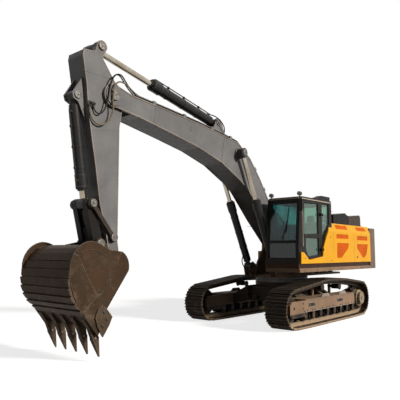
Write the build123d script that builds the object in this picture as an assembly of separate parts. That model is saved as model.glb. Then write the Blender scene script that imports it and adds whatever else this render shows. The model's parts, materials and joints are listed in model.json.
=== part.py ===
from build123d import *

import math
import os

# A crawler excavator of the 45-tonne class with a rock bucket. Millimetres.
# +X runs forward along the boom, +Y to the operator's left, +Z up.
# The origin is on the ground, on the slewing axis. Points are (x, z) in the machine's middle plane.

# fits and gaps
FIT = 0.05        # radial clearance of a pin or rod in its bore
SEAT = 0.3        # gap between a moving piece and its seat
SIDE_GAP = 5.0    # gap between the sides of links, ears and bosses

# undercarriage
TRACK_GAUGE = 2620
SHOE_WIDTH = 610
LINK_COUNT = 50
RAIL_DROP = 60    # link rail below the pin line
SHOE_SEAT = 45    # shoe underside above the pin line
BELT_OUT = 53     # bottom of the gap between two shoes
SHOE_TOP = 75
GROUSER_TOP = 105
SHOE_GAP = 9
STRAND_WIDTH = 55
STRAND_OFFSET = 88
IDLER = (2060, 510, 395)       # x, z, pin line radius
SPROCKET = (-2060, 525, 410)
ROLLER_RADIUS = 105
ROLLER_LENGTH = 300
ROLLER_Z = GROUSER_TOP + RAIL_DROP + ROLLER_RADIUS
ROLLER_COUNT = 8
ROLLER_SPAN = 2920
ROLLER_MIDDLE = -40
CARRIER_RADIUS = 72
CARRIERS = ((260, 955), (-820, 930))       # x, z of each carrier roller's axis
CARRIER_DROP = 68                          # carrier axis to the underside of the rail's height
FRAME_HALF = 225
FRAME_LOW = 392
FRAME_HIGH = 700
FRAME_FRONT = 1480
FRAME_REAR = -1615
HUB_RADIUS = 240
HUB_OUT = 272
CARBODY_TOP = 1060
TOW_EYE = (890, 350, 600, 660)              # x, y, lower face, upper face
TOW_BORE = 32
RING_OUTER = 780
RING_INNER = 600
RACE_HEIGHT = 75

# upper structure
HOUSE_HALF = 1560
DECK_LOW = 1400
SKIRT_TOP = 1500
DECK_TOP = 1620
DECK_FRONT = 1720
CENTRE_HALF = 540
PANEL_THICK = 40
SHOULDER_Z = 2500
HOOD_Z = 2740
SHOULDER_IN = 85      # hood's edge in from the house's side
HOOD_HALF = HOUSE_HALF - SHOULDER_IN
HOOD_FRONT = -250
CAB_REAR = -215
CAB_FRONT = 1720
CAB_INNER = 540
CAB_SET_IN = 45       # cab and decks in from the house's side
CAB_OUTER = HOUSE_HALF - CAB_SET_IN
CAB_TOP = 3360
CAB_WALL = 60
DOOR_REAR = 475
DOOR_FRONT = 1490
DOOR_HEAD = CAB_TOP - 70
WINDOW_HEAD = CAB_TOP - 130
MIRROR_TOP = CAB_TOP - 150
REAR_PANEL_END = -2950
RIGHT_FRONT = -1290     # front of the right tanks
RIGHT_DECK_FRONT = -1000
TAIL_X = -3760
TAIL_LOW = 1400
TAIL_TOP = 2700

# digging gear pivots, (x, z)
BOOM_FOOT = (310, 2155)
ARM_PIVOT = (6750, 4960)
BOOM_CYL_BASE = (1110, 1510)
BOOM_CYL_EYE = (2610, 4460)
ARM_CYL_BASE = (3250, 5170)
ARM_CYL_EYE = (7030, 5890)
BUCKET_CYL_BASE = (7490, 4820)
LINK_PIVOT = (6680, 2180)
LINK_EYE = (7190, 2800)
BUCKET_PIVOT = (6600, 1650)
BUCKET_EYE = (7000, 2050)

# digging gear widths
BOOM_HALF = 290
ARM_HALF = 235
EYE_HALF = 95
BOOM_CYL_Y = 420
BUCKET_WIDTH = 1500
SIDE_PLATE = 28
WRAPPER = 28


def face_xz(points, y=0.0):
    """The flat face with corners (x, z) in the plane at y."""
    return Face(Wire.make_polygon([Vector(px, y, pz) for px, pz in points], close=True))


def plate(points, y0, y1):
    """A flat plate with corners (x, z), from y0 to y1."""
    return Solid.extrude(face_xz(points, y0), Vector(0, y1 - y0, 0))


def curve_xz(start, steps, y):
    """A closed wire from start: a step is (x, z) for a line, or ((x, z), (x, z)) for an arc."""
    edges = []
    at = start
    for step in steps:
        if isinstance(step[0], tuple):
            through, end = step
            edges.append(
                Edge.make_three_point_arc(
                    Vector(at[0], y, at[1]), Vector(through[0], y, through[1]), Vector(end[0], y, end[1])
                )
            )
        else:
            end = step
            edges.append(Edge.make_line(Vector(at[0], y, at[1]), Vector(end[0], y, end[1])))
        at = end
    if math.dist(at, start) > 1e-6:
        edges.append(Edge.make_line(Vector(at[0], y, at[1]), Vector(start[0], y, start[1])))
    return Wire(edges)


def curved_plate(start, steps, y0, y1):
    """A plate whose outline has lines and arcs, from y0 to y1."""
    return Solid.extrude(Face(curve_xz(start, steps, y0)), Vector(0, y1 - y0, 0))


def block(x0, x1, y0, y1, z0, z1):
    """A box between two corners."""
    return Solid.make_box(x1 - x0, y1 - y0, z1 - z0, Plane(origin=(x0, y0, z0)))


def drum(centre, radius, y0, y1):
    """A cylinder across the machine at (x, z), from y0 to y1."""
    plane = Plane(origin=(centre[0], y0, centre[1]), z_dir=(0, 1, 0))
    return Solid.make_cylinder(radius, y1 - y0, plane)


def bar(start, end, radius):
    """A round bar between two points in space."""
    a, b = Vector(*start), Vector(*end)
    return Solid.make_cylinder(radius, (b - a).length, Plane(origin=a, z_dir=b - a))


def post(x, y, radius, z0, z1):
    """An upright cylinder."""
    return Solid.make_cylinder(radius, z1 - z0, Plane(origin=(x, y, z0)))


def mirrored(shape):
    """The same shape on the machine's other side."""
    return shape.mirror(Plane.XZ)


def both(shape):
    """A shape and its mirror image."""
    return [shape, mirrored(shape)]


def joined(first, *rest):
    """One shape from shapes that touch or overlap."""
    return first.fuse(*rest)


def less(shape, *tools):
    """A shape with the tools cut away."""
    return shape.cut(*tools)


def along(a, b, distance, sideways=0.0):
    """The point at a distance from a towards b, and so far to the left of that line."""
    length = math.dist(a, b)
    ux, uz = (b[0] - a[0]) / length, (b[1] - a[1]) / length
    return (a[0] + ux * distance - uz * sideways, a[1] + uz * distance + ux * sideways)


def write(name, *shapes):
    """Write one node, whose solids are all those of the shapes."""
    solids = []
    for shape in shapes:
        solids += shape if isinstance(shape, list) else [shape]
    flat = [solid for shape in solids for solid in shape.solids()]
    export_step(Compound(flat), f"parts/{name}.step")


# Tracks: a belt round six wheels, with a shoe on each link


def belt_pins():
    """The link pins (x, z), evenly spaced along the belt round the wheels, counter-clockwise."""
    roller_pin = ROLLER_RADIUS + RAIL_DROP
    half_span = ROLLER_SPAN / 2
    wheels = [IDLER]
    wheels += [(cx, cz, CARRIER_DROP + CARRIER_RADIUS) for cx, cz in CARRIERS]
    wheels += [
        SPROCKET,
        (ROLLER_MIDDLE - half_span, ROLLER_Z, roller_pin),
        (ROLLER_MIDDLE + half_span, ROLLER_Z, roller_pin),
    ]
    count = len(wheels)
    normals = []
    for i in range(count):
        (ax, az, ar), (bx, bz, br) = wheels[i], wheels[(i + 1) % count]
        span = math.hypot(bx - ax, bz - az)
        normals.append(math.atan2(bz - az, bx - ax) - math.acos((ar - br) / span))
    runs = []
    for i in range(count):
        (ax, az, ar), (bx, bz, br) = wheels[i], wheels[(i + 1) % count]
        here, there = normals[i], normals[(i + 1) % count]
        start = (ax + ar * math.cos(here), az + ar * math.sin(here))
        end = (bx + br * math.cos(here), bz + br * math.sin(here))
        turn = (there - here) % (2 * math.pi)
        runs.append(("line", start, end, math.dist(start, end)))
        runs.append(("arc", (bx, bz, br), (here, turn), br * turn))
    pitch = sum(run[3] for run in runs) / LINK_COUNT
    pins = []
    for k in range(LINK_COUNT):
        left = k * pitch
        for kind, a, b, length in runs:
            if left <= length:
                break
            left -= length
        if kind == "line":
            pins.append((a[0] + (b[0] - a[0]) * left / length, a[1] + (b[1] - a[1]) * left / length))
        else:
            angle = b[0] + b[1] * left / length
            pins.append((a[0] + a[2] * math.cos(angle), a[1] + a[2] * math.sin(angle)))
    return pins, pitch


def pin_offsets(pins, out):
    """A ring of points at a distance outside the pins, along the mean of the two links' normals."""
    ring = []
    count = len(pins)
    for i in range(count):
        (ax, az), (px, pz), (bx, bz) = pins[i - 1], pins[i], pins[(i + 1) % count]
        tx, tz = bx - ax, bz - az
        size = math.hypot(tx, tz)
        ring.append((px + out * tz / size, pz - out * tx / size))
    return ring


def shoe_points(a, b, pitch):
    """One shoe's outline between two pins, with its three grouser bars."""
    half = pitch / 2 - SHOE_GAP / 2
    bar_width = 16
    outline = (
        # along from the link's middle, out from the pin line
        (-half, BELT_OUT),
        (-half, GROUSER_TOP),
        (-half + bar_width, GROUSER_TOP),
        (-half / 2, SHOE_TOP),
        (-bar_width / 2, GROUSER_TOP),
        (bar_width / 2, GROUSER_TOP),
        (half / 2, SHOE_TOP),
        (half - bar_width, GROUSER_TOP),
        (half, GROUSER_TOP),
        (half, BELT_OUT),
    )
    mx, mz = (a[0] + b[0]) / 2, (a[1] + b[1]) / 2
    length = math.dist(a, b)
    tx, tz = (b[0] - a[0]) / length, (b[1] - a[1]) / length
    return [(mx + tx * t + tz * out, mz + tz * t - tx * out) for t, out in outline]


def ring_plate(outer, inner, y0, y1):
    """A closed loop between two outlines, from y0 to y1."""
    hole = Wire.make_polygon([Vector(px, y0, pz) for px, pz in inner], close=True)
    wire = Wire.make_polygon([Vector(px, y0, pz) for px, pz in outer], close=True)
    return Solid.extrude(Face(wire, [hole]), Vector(0, y1 - y0, 0))


def track(pins, pitch):
    """The left track: shoes in the outline of one belt, on two strands of links."""
    middle = TRACK_GAUGE / 2
    outline = []
    for i, pin in enumerate(pins):
        outline += shoe_points(pin, pins[(i + 1) % len(pins)], pitch)
    belt = ring_plate(
        outline, pin_offsets(pins, SHOE_SEAT), middle - SHOE_WIDTH / 2, middle + SHOE_WIDTH / 2
    )
    overlap = 3
    strands = []
    for side in (-1, 1):
        centre = middle + side * STRAND_OFFSET
        strands.append(
            ring_plate(
                pin_offsets(pins, SHOE_SEAT + overlap),
                pin_offsets(pins, -RAIL_DROP),
                centre - STRAND_WIDTH / 2,
                centre + STRAND_WIDTH / 2,
            )
        )
    return joined(belt, *strands)


def wheel_radius(centre, pins):
    """The radius of a wheel that seats on the link rails from inside the belt."""
    rail = pin_offsets(pins, -RAIL_DROP)
    nearest = math.inf
    for (ax, az), (bx, bz) in zip(rail, rail[1:] + rail[:1]):
        dx, dz = bx - ax, bz - az
        share = ((centre[0] - ax) * dx + (centre[1] - az) * dz) / (dx * dx + dz * dz)
        share = min(1.0, max(0.0, share))
        nearest = min(nearest, math.dist(centre, (ax + share * dx, az + share * dz)))
    return nearest - SEAT


def idler(pins):
    """The left front idler: a tread each side of a guide rim."""
    middle = TRACK_GAUGE / 2
    centre = IDLER[:2]
    radius = wheel_radius(centre, pins)
    tread_half = STRAND_OFFSET + STRAND_WIDTH / 2
    rim_half = STRAND_OFFSET - STRAND_WIDTH / 2 - SIDE_GAP
    rim_height = 40
    wheel = drum(centre, radius, middle - tread_half, middle + tread_half)
    rim = drum(centre, radius + rim_height, middle - rim_half, middle + rim_half)
    return joined(wheel, rim)


def sprocket(pins):
    """The left rear sprocket: a toothed ring round the final drive."""
    middle = TRACK_GAUGE / 2
    teeth = 12
    tooth_half = STRAND_OFFSET - STRAND_WIDTH / 2 - 2 * SIDE_GAP
    root = wheel_radius(SPROCKET[:2], pins)
    tip = SPROCKET[2] + SHOE_SEAT - 2 * SIDE_GAP - 12
    outline = []
    step = 2 * math.pi / teeth
    for k in range(teeth):
        # share of the tooth step, radius
        for share, radius in ((0.0, root), (0.30, root), (0.42, tip), (0.58, tip), (0.70, root)):
            angle = (k + share) * step
            outline.append((SPROCKET[0] + radius * math.cos(angle), SPROCKET[1] + radius * math.sin(angle)))
    wheel = plate(outline, middle - tooth_half, middle + tooth_half)
    return less(wheel, drum(SPROCKET[:2], HUB_RADIUS + FIT, middle - FRAME_HALF, middle + FRAME_HALF))


def final_drive():
    """The left hub gear case that carries the sprocket, with its stepped cover."""
    middle = TRACK_GAUGE / 2
    bracket_face = middle - FRAME_HALF + 90
    centre = SPROCKET[:2]
    case = drum(centre, HUB_RADIUS, bracket_face, middle + 190)
    cover = drum(centre, HUB_RADIUS - 55, middle + 190, middle + HUB_OUT)
    cap = drum(centre, 70, middle + HUB_OUT, middle + HUB_OUT + 18)
    return joined(case, cover, cap)


def roller_places():
    """The x of each bottom roller."""
    step = ROLLER_SPAN / (ROLLER_COUNT - 1)
    return [ROLLER_MIDDLE - ROLLER_SPAN / 2 + i * step for i in range(ROLLER_COUNT)]


def bottom_rollers(pins):
    """The left bottom rollers, which stand on the link rails."""
    middle = TRACK_GAUGE / 2
    half = ROLLER_LENGTH / 2
    rollers = []
    for x in roller_places():
        centre = (x, ROLLER_Z)
        rollers.append(drum(centre, wheel_radius(centre, pins), middle - half, middle + half))
    return rollers


def carrier_rollers(pins):
    """The left carrier rollers under the upper run, each on a stub shaft."""
    middle = TRACK_GAUGE / 2
    half = STRAND_OFFSET + STRAND_WIDTH / 2
    rollers = []
    for centre in CARRIERS:
        wheel = drum(centre, wheel_radius(centre, pins), middle - half, middle + half)
        shaft = drum(centre, CARRIER_RADIUS - 30, middle - FRAME_HALF + 40, middle - half)
        rollers.append(joined(wheel, shaft))
    return rollers


def track_frame():
    """The left side frame: a box beam, idler guards, roller brackets and the drive's bracket."""
    middle = TRACK_GAUGE / 2
    low, high = middle - FRAME_HALF, middle + FRAME_HALF
    taper = 60
    beam = plate(
        (
            (FRAME_REAR, FRAME_LOW),
            (FRAME_FRONT, FRAME_LOW),
            (FRAME_FRONT, FRAME_HIGH),
            (FRAME_REAR + taper, FRAME_HIGH),
            (FRAME_REAR, FRAME_HIGH - taper),
        ),
        low,
        high,
    )
    lip = 18
    shelf = block(FRAME_REAR + taper, FRAME_FRONT, low, high + lip, FRAME_HIGH, FRAME_HIGH + lip)
    pieces = [beam, shelf]
    # idler guards each side of the idler
    guard_in = ROLLER_LENGTH / 2 + SEAT
    guard = (
        (FRAME_FRONT, 290),
        (2140, 290),
        (2210, 360),
        (2210, 610),
        (2120, 690),
        (FRAME_FRONT, 690),
    )
    pieces.append(plate(guard, middle + guard_in, high))
    pieces.append(plate(guard, low, middle - guard_in))
    # brackets at both ends of each bottom roller
    bracket_half = 70
    roller_half = ROLLER_LENGTH / 2
    for x in roller_places():
        for y0, y1 in ((low, middle - roller_half - SEAT), (middle + roller_half + SEAT, high)):
            pieces.append(
                plate(
                    (
                        (x - bracket_half, FRAME_LOW),
                        (x - bracket_half, ROLLER_Z),
                        (x - bracket_half / 2, ROLLER_Z - 60),
                        (x + bracket_half / 2, ROLLER_Z - 60),
                        (x + bracket_half, ROLLER_Z),
                        (x + bracket_half, FRAME_LOW),
                    ),
                    y0,
                    y1,
                )
            )
    # carrier roller posts, with the shafts' seats
    for cx, cz in CARRIERS:
        seat = drum((cx, cz), CARRIER_RADIUS, low, low + 40)
        pieces.append(joined(seat, block(cx - 60, cx + 60, low, low + 40, FRAME_HIGH, cz)))
    # the plate that holds the final drive
    face = low + 90
    pieces.append(drum(SPROCKET[:2], HUB_RADIUS + 20, low, face))
    pieces.append(
        plate(
            (
                (SPROCKET[0], SPROCKET[1] - HUB_RADIUS - 20),
                (FRAME_REAR + 40, FRAME_LOW),
                (FRAME_REAR + 40, FRAME_HIGH),
                (SPROCKET[0], SPROCKET[1] + HUB_RADIUS + 20),
            ),
            low,
            face,
        )
    )
    return joined(*pieces)


def carbody():
    """The centre frame: a tub under the slewing ring, four legs to the side frames, two tow eyes."""
    frame_in = TRACK_GAUGE / 2 - FRAME_HALF
    tub = Solid.make_cylinder(RING_OUTER - 20, CARBODY_TOP - 560, Plane(origin=(0, 0, 560)))
    belly = block(-820, 820, -560, 560, 520, 900)
    pieces = [tub, belly]
    leg_inner = 560
    leg = [
        Vector(0, leg_inner, 520),
        Vector(0, frame_in, FRAME_LOW + 10),
        Vector(0, frame_in, FRAME_HIGH - 10),
        Vector(0, leg_inner, 960),
    ]
    for x0, x1 in ((420, 980), (-980, -420)):
        wire = Wire.make_polygon([Vector(x0, p.Y, p.Z) for p in leg], close=True)
        pieces += both(Solid.extrude(Face(wire), Vector(x1 - x0, 0, 0)))
    # each tow eye is a flange with an upright bore
    eye_x, eye_y, eye_low, eye_high = TOW_EYE
    flange = joined(
        block(810, eye_x, eye_y - 75, eye_y + 75, eye_low, eye_high),
        post(eye_x, eye_y, 75, eye_low, eye_high),
    )
    pieces += both(flange)
    return less(joined(*pieces), *both(post(eye_x, eye_y, TOW_BORE, eye_low - 10, eye_high + 10)))


def ring(outer, inner, z0, z1):
    """A flat ring round the slewing axis."""
    return less(post(0, 0, outer, z0, z1), post(0, 0, inner, z0 - 1, z1 + 1))


# Upper structure


def turntable():
    """The main frame: a deck plate, two boom brackets and the cylinder brackets."""
    low = CARBODY_TOP + 2 * RACE_HEIGHT + 0.5
    deck_top = low + 60
    nose = 1000
    deck = block(-2850, nose, -CENTRE_HALF, CENTRE_HALF, low, deck_top)
    pieces = [deck]
    # each boom bracket is a tall plate beside the boom's foot
    ear_in = BOOM_HALF + 10
    ear_out = ear_in + 50
    foot_x, foot_z = BOOM_FOOT
    rounding = 170
    ear = (
        (-1180, deck_top),
        (nose, deck_top),
        (820, 1640),
        (foot_x + rounding, foot_z - 80),
        (foot_x + rounding * 0.7, foot_z + rounding * 0.7),
        (foot_x, foot_z + rounding),
        (foot_x - rounding * 0.7, foot_z + rounding * 0.7),
        (-350, 1900),
        (-1180, 1560),
    )
    pin = drum(BOOM_FOOT, 75 + FIT, -ear_out - 1, ear_out + 1)
    for side in both(plate(ear, ear_in, ear_out)):
        pieces.append(side)
    # clevis for each boom cylinder, two ears on a foot block
    base_x, base_z = BOOM_CYL_BASE
    lug = (
        (nose - 160, low),
        (base_x + 60, low),
        (base_x + 130, base_z - 40),
        (base_x + 90, base_z + 90),
        (base_x - 60, base_z + 130),
        (base_x - 200, base_z + 60),
        (nose - 160, deck_top),
    )
    for y0, y1 in ((320, 348), (492, 520)):
        pieces += both(plate(lug, y0, y1))
    pieces += both(block(nose - 160, nose, 320, 520, low, deck_top))
    frame = joined(*pieces)
    bores = [pin]
    bores += both(drum(BOOM_CYL_BASE, 55 + FIT, 310, 530))
    return less(frame, *bores)


def side_deck(front):
    """A deck up to its front edge, set back above its skirt rail."""
    return block(REAR_PANEL_END, front, CENTRE_HALF, CAB_OUTER, SKIRT_TOP, DECK_TOP)


def skirt_rail(front):
    """The rail along a deck's lower edge, with a ledge above it."""
    ledge = 12
    rail = block(REAR_PANEL_END, front + 15, CENTRE_HALF, HOUSE_HALF, DECK_LOW, SKIRT_TOP - 25)
    return joined(rail, block(REAR_PANEL_END, front, CENTRE_HALF, CAB_OUTER + ledge, SKIRT_TOP - 25, SKIRT_TOP))


def counterweight():
    """The tail weight, with round corners, a raised back and two lifting eyes."""
    corner = 330
    y = HOUSE_HALF - 20
    lowest = Plane(origin=(0, 0, TAIL_LOW))
    outline = [
        Edge.make_line((REAR_PANEL_END, -y, TAIL_LOW), (REAR_PANEL_END, y, TAIL_LOW)),
        Edge.make_line((REAR_PANEL_END, y, TAIL_LOW), (TAIL_X + corner + 120, y, TAIL_LOW)),
        Edge.make_three_point_arc(
            Vector(TAIL_X + corner + 120, y, TAIL_LOW),
            Vector(TAIL_X + 0.29 * corner + 85, y - 0.29 * corner, TAIL_LOW),
            Vector(TAIL_X + 70, y - corner, TAIL_LOW),
        ),
        Edge.make_three_point_arc(
            Vector(TAIL_X + 70, y - corner, TAIL_LOW),
            Vector(TAIL_X, 0, TAIL_LOW),
            Vector(TAIL_X + 70, corner - y, TAIL_LOW),
        ),
        Edge.make_three_point_arc(
            Vector(TAIL_X + 70, corner - y, TAIL_LOW),
            Vector(TAIL_X + 0.29 * corner + 85, 0.29 * corner - y, TAIL_LOW),
            Vector(TAIL_X + corner + 120, -y, TAIL_LOW),
        ),
        Edge.make_line((TAIL_X + corner + 120, -y, TAIL_LOW), (REAR_PANEL_END, -y, TAIL_LOW)),
    ]
    mass = Solid.extrude(Face(Wire(outline)), Vector(0, 0, TAIL_TOP - TAIL_LOW))
    lug_points = ((-3350, TAIL_TOP), (-3130, TAIL_TOP), (-3190, TAIL_TOP + 130), (-3290, TAIL_TOP + 130))
    lugs = [plate(lug_points, side * 700 - 25, side * 700 + 25) for side in (-1, 1)]
    whole = joined(mass, *lugs)
    eyes = [drum((-3240, TAIL_TOP + 70), 32, side * 700 - 40, side * 700 + 40) for side in (-1, 1)]
    recess = block(TAIL_X - 10, TAIL_X + 60, -560, 560, TAIL_LOW + 350, TAIL_LOW + 800)
    return less(whole, *eyes, recess)


# outlines (x, z) of the insets in the left side wall and its shoulder
WALL_INSETS = (
    ((-1238, 2436), (-420, 2434), (-418, 2306), (-1234, 2308)),
    ((-2708, 2422), (-1880, 2420), (-1884, 2291), (-2702, 2290)),
    ((-1247, 2182), (-450, 2184), (-436, 1751), (-743, 1758), (-1215, 2032)),
    ((-2735, 2170), (-1884, 2170), (-1878, 2037), (-2306, 1749), (-2421, 1749), (-2605, 1850)),
)
SHOULDER_INSETS = (
    ((-1217, 2700), (-430, 2700), (-469, 2582), (-1255, 2582)),
    ((-2592, 2692), (-1880, 2692), (-1927, 2582), (-2698, 2582)),
)
# the tanks stand in front of the right wall, which holds only the rear bay's insets
TANKS_END = -2130


def squeezed(points, front, rear):
    """An inset's outline with its stretch along x carried to another stretch."""
    low, high = min(px for px, pz in points), max(px for px, pz in points)
    scale = (front - rear) / (high - low)
    return tuple((rear + (px - low) * scale, pz) for px, pz in points)


def insets(left, table):
    """The insets of one side: all on the left, the rear ones drawn together on the right."""
    if left:
        return table
    rear = [points for points in table if max(px for px, pz in points) < -1800]
    return [squeezed(points, TANKS_END - 90, REAR_PANEL_END + 110) for points in rear]


def shoulder_slab(x0, x1, outer, inner):
    """A length of the sloping shoulder between two depths under its face."""
    run, rise = HOUSE_HALF - HOOD_HALF, HOOD_Z - SHOULDER_Z
    length = math.hypot(run, rise)
    across, up = rise / length, run / length
    low = (HOUSE_HALF - outer * across, SHOULDER_Z - outer * up)
    high = (HOOD_HALF - outer * across, HOOD_Z - outer * up)
    depth = inner - outer
    corners = [
        Vector(x0, low[0], low[1]),
        Vector(x0, high[0], high[1]),
        Vector(x0, high[0] - depth * across, high[1] - depth * up),
        Vector(x0, low[0] - depth * across, low[1] - depth * up),
    ]
    return Solid.extrude(Face(Wire.make_polygon(corners, close=True)), Vector(x1 - x0, 0, 0))


def side_panels(left):
    """The yellow side wall of one side: doors below, a sloping shoulder above, with insets cut."""
    y1 = HOUSE_HALF
    y0 = y1 - PANEL_THICK
    end = REAR_PANEL_END
    front = CAB_REAR - SEAT if left else TANKS_END
    # the left wall's front edge: a tip before the door, a sweep under it and a slope up behind it
    sweep = (
        (1660, DECK_TOP),
        (1655, 1920),
        (1505, 1903),
        (1355, 1800),
        (1243, 1712),
        (470, 1796),
        (436, 1830),
        (425, 2009),
        (221, 2345),
        (90, SHOULDER_Z),
    )
    edge = list(sweep) if left else [(front, DECK_TOP), (front, SHOULDER_Z)]
    wall = plate(edge + [(end, SHOULDER_Z), (end, DECK_TOP)], y0, y1)
    slope = [
        Vector(end, y1, SHOULDER_Z),
        Vector(end, HOOD_HALF, HOOD_Z),
        Vector(end, HOOD_HALF - PANEL_THICK, HOOD_Z),
        Vector(end, y0, SHOULDER_Z),
    ]
    shoulder = Solid.extrude(Face(Wire.make_polygon(slope, close=True)), Vector(front - end, 0, 0))
    panel = joined(wall, shoulder)
    if left:
        # the wall's top goes on beside the cab and thins out along the shoulder's slope
        share = PANEL_THICK / (HOUSE_HALF - HOOD_HALF)
        fin = [
            Vector(front, y1, SHOULDER_Z),
            Vector(front, y0, SHOULDER_Z + share * (HOOD_Z - SHOULDER_Z)),
            Vector(front, y0, SHOULDER_Z),
        ]
        fin = Solid.extrude(Face(Wire.make_polygon(fin, close=True)), Vector(90 - front, 0, 0))
        ahead = ((90, SHOULDER_Z), (200, SHOULDER_Z), (200, HOOD_Z), (-110, HOOD_Z))
        panel = joined(panel, less(fin, plate(ahead, y0 - 1, y1 + 1)))
    cuts = [plate(points, y0 - 1, y1 + 1) for points in insets(left, WALL_INSETS)]
    cuts += [plate(points, HOOD_HALF - 60, y1 + 1) for points in insets(left, SHOULDER_INSETS)]
    # gaps between the doors
    gap = 8
    depth = 12
    for x in (-232, -1650) if left else ():
        cuts.append(block(x - gap, x, y1 - depth, y1 + 1, DECK_TOP - 1, SHOULDER_Z + 1))
    return less(panel, *cuts)


def vent_grilles(left):
    """The slotted grilles in the side wall's insets, set back a little."""
    y1 = HOUSE_HALF - 9
    y0 = HOUSE_HALF - PANEL_THICK
    slot = 14
    grilles = []
    for points in insets(left, WALL_INSETS):
        low, high = min(pz for px, pz in points), max(pz for px, pz in points)
        x0, x1 = min(px for px, pz in points), max(px for px, pz in points)
        count = round((high - low) / 62)
        step = (high - low) / count
        slots = [
            block(x0 - 1, x1 + 1, y1 - 7, y1 + 1, low + (i + 0.5) * step - slot / 2, low + (i + 0.5) * step + slot / 2)
            for i in range(count)
        ]
        grilles.append(less(plate(inset(points, SEAT), y0, y1), *slots))
    for points in insets(left, SHOULDER_INSETS):
        x0, x1 = min(px for px, pz in points), max(px for px, pz in points)
        slab = shoulder_slab(x0, x1, 9, 30)
        rest = less(block(x0 - 1, x1 + 1, HOOD_HALF - 80, HOUSE_HALF + 10, SHOULDER_Z - 60, HOOD_Z + 60),
                    plate(inset(points, SEAT), HOOD_HALF - 90, HOUSE_HALF + 20))
        grilles.append(less(slab, rest))
    return grilles


def hood():
    """The engine hood between the shoulders, cut back on the right for the tanks."""
    half = HOOD_HALF - PANEL_THICK
    tank_in = CENTRE_HALF + 40
    plate_top = block(REAR_PANEL_END, HOOD_FRONT, -half, half, HOOD_Z - PANEL_THICK, HOOD_Z)
    front = block(HOOD_FRONT, HOOD_FRONT + 25, -tank_in, half - 60, DECK_TOP, HOOD_Z)
    side = block(TANKS_END, HOOD_FRONT, -tank_in, 25 - tank_in, DECK_TOP, HOOD_Z - PANEL_THICK)
    ear_in, ear_out = BOOM_HALF + 10, BOOM_HALF + 60
    cuts = both(
        block(HOOD_FRONT - 1, HOOD_FRONT + 26, ear_in - SEAT, ear_out + SEAT, DECK_TOP - 1, 1990)
    )
    cuts.append(block(TANKS_END - SEAT, HOOD_FRONT + 26, -half - 1, -tank_in, DECK_TOP, HOOD_Z + 1))
    return less(joined(plate_top, front, side), *cuts)


def hood_boxes():
    """The black intake box and the raised cover behind it, on the hood."""
    outer = 1265
    intake = plate(
        ((-1975, HOOD_Z), (-1975, 3042), (-1690, 3130), (-900, 3035), (-870, HOOD_Z)), 700, outer
    )
    cover = plate(
        ((-2925, HOOD_Z), (-2910, 3072), (-2820, 3130), (-1990, 3040), (-1990, HOOD_Z)), 500, outer
    )
    return intake, cover


# the windscreens: low z, high z, and the pane's x at its foot and head
WINDSCREENS = (
    (1748, 2160, 1668, 1668),
    (2198, WINDOW_HEAD - 30, 1666, 1566),
)
QUARTER_WINDOW = (
    (-50, WINDOW_HEAD + 25),
    (385, WINDOW_HEAD + 25),
    (385, 2165),
    (250, 2400),
    (-50, 2690),
)


def cab_outline():
    """The cab's side outline (x, z), with its raked front top corner."""
    return (
        (CAB_REAR, DECK_TOP),
        (CAB_FRONT - 10, DECK_TOP),
        (CAB_FRONT, 1760),
        (CAB_FRONT - 25, 2300),
        (CAB_FRONT - 130, CAB_TOP - 70),
        (CAB_FRONT - 200, CAB_TOP),
        (CAB_REAR, CAB_TOP),
    )


def inset(points, amount):
    """The outline moved inwards on every side by an amount; points run clockwise or not."""
    face = Face(Wire.make_polygon([Vector(px, pz, 0) for px, pz in points], close=True))
    inner = offset(face, amount=-amount, kind=Kind.INTERSECTION)
    return [(v.X, v.Y) for v in inner.faces()[0].outer_wire().vertices()]


def door_outline(gap):
    """The door's outline (x, z), smaller than its opening by a gap."""
    return (
        (DOOR_REAR + gap, DOOR_HEAD - gap),
        (DOOR_REAR + gap, 1806 + gap),
        (1225, 1728 + gap),
        (1330 - gap, 1812 + gap),
        (DOOR_FRONT - gap, 1925 + gap),
        (DOOR_FRONT - gap, DOOR_HEAD - gap),
    )


def cab_shell():
    """The hollow cab: floor, roof, pillars and walls, with its windows and door opening cut."""
    outer = plate(cab_outline(), CAB_INNER, CAB_OUTER)
    w = CAB_WALL
    hollow = plate(
        (
            (CAB_REAR + w, DECK_TOP + w),
            (CAB_FRONT - w - 5, DECK_TOP + w),
            (CAB_FRONT - w - 25, 2300),
            (CAB_FRONT - w - 135, CAB_TOP - w - 20),
            (CAB_REAR + w, CAB_TOP - w - 20),
        ),
        CAB_INNER + w,
        CAB_OUTER - w,
    )
    cuts = [hollow]
    y_in, y_out = CAB_INNER - 1, CAB_OUTER + 1
    # front: upper and lower windscreen
    for z0, z1, _, _ in WINDSCREENS:
        cuts.append(block(CAB_FRONT - 330, CAB_FRONT + 60, CAB_INNER + 75, CAB_OUTER - 85, z0, z1))
    # left side: door opening, quarter window
    cuts.append(plate(door_outline(0), CAB_OUTER - w - 1, y_out))
    cuts.append(plate(QUARTER_WINDOW, CAB_OUTER - w - 1, y_out))
    # right side: one long window
    cuts.append(block(-60, 1420, y_in, CAB_INNER + w + 1, 2080, WINDOW_HEAD))
    # rear window
    cuts.append(block(CAB_REAR - 1, CAB_REAR + w + 1, CAB_INNER + 110, CAB_OUTER - 110, 2760, WINDOW_HEAD))
    # roof hatch
    cuts.append(block(350, 1150, CAB_INNER + 200, CAB_OUTER - 200, CAB_TOP - w - 21, CAB_TOP + 1))
    return less(outer, *cuts)


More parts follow.
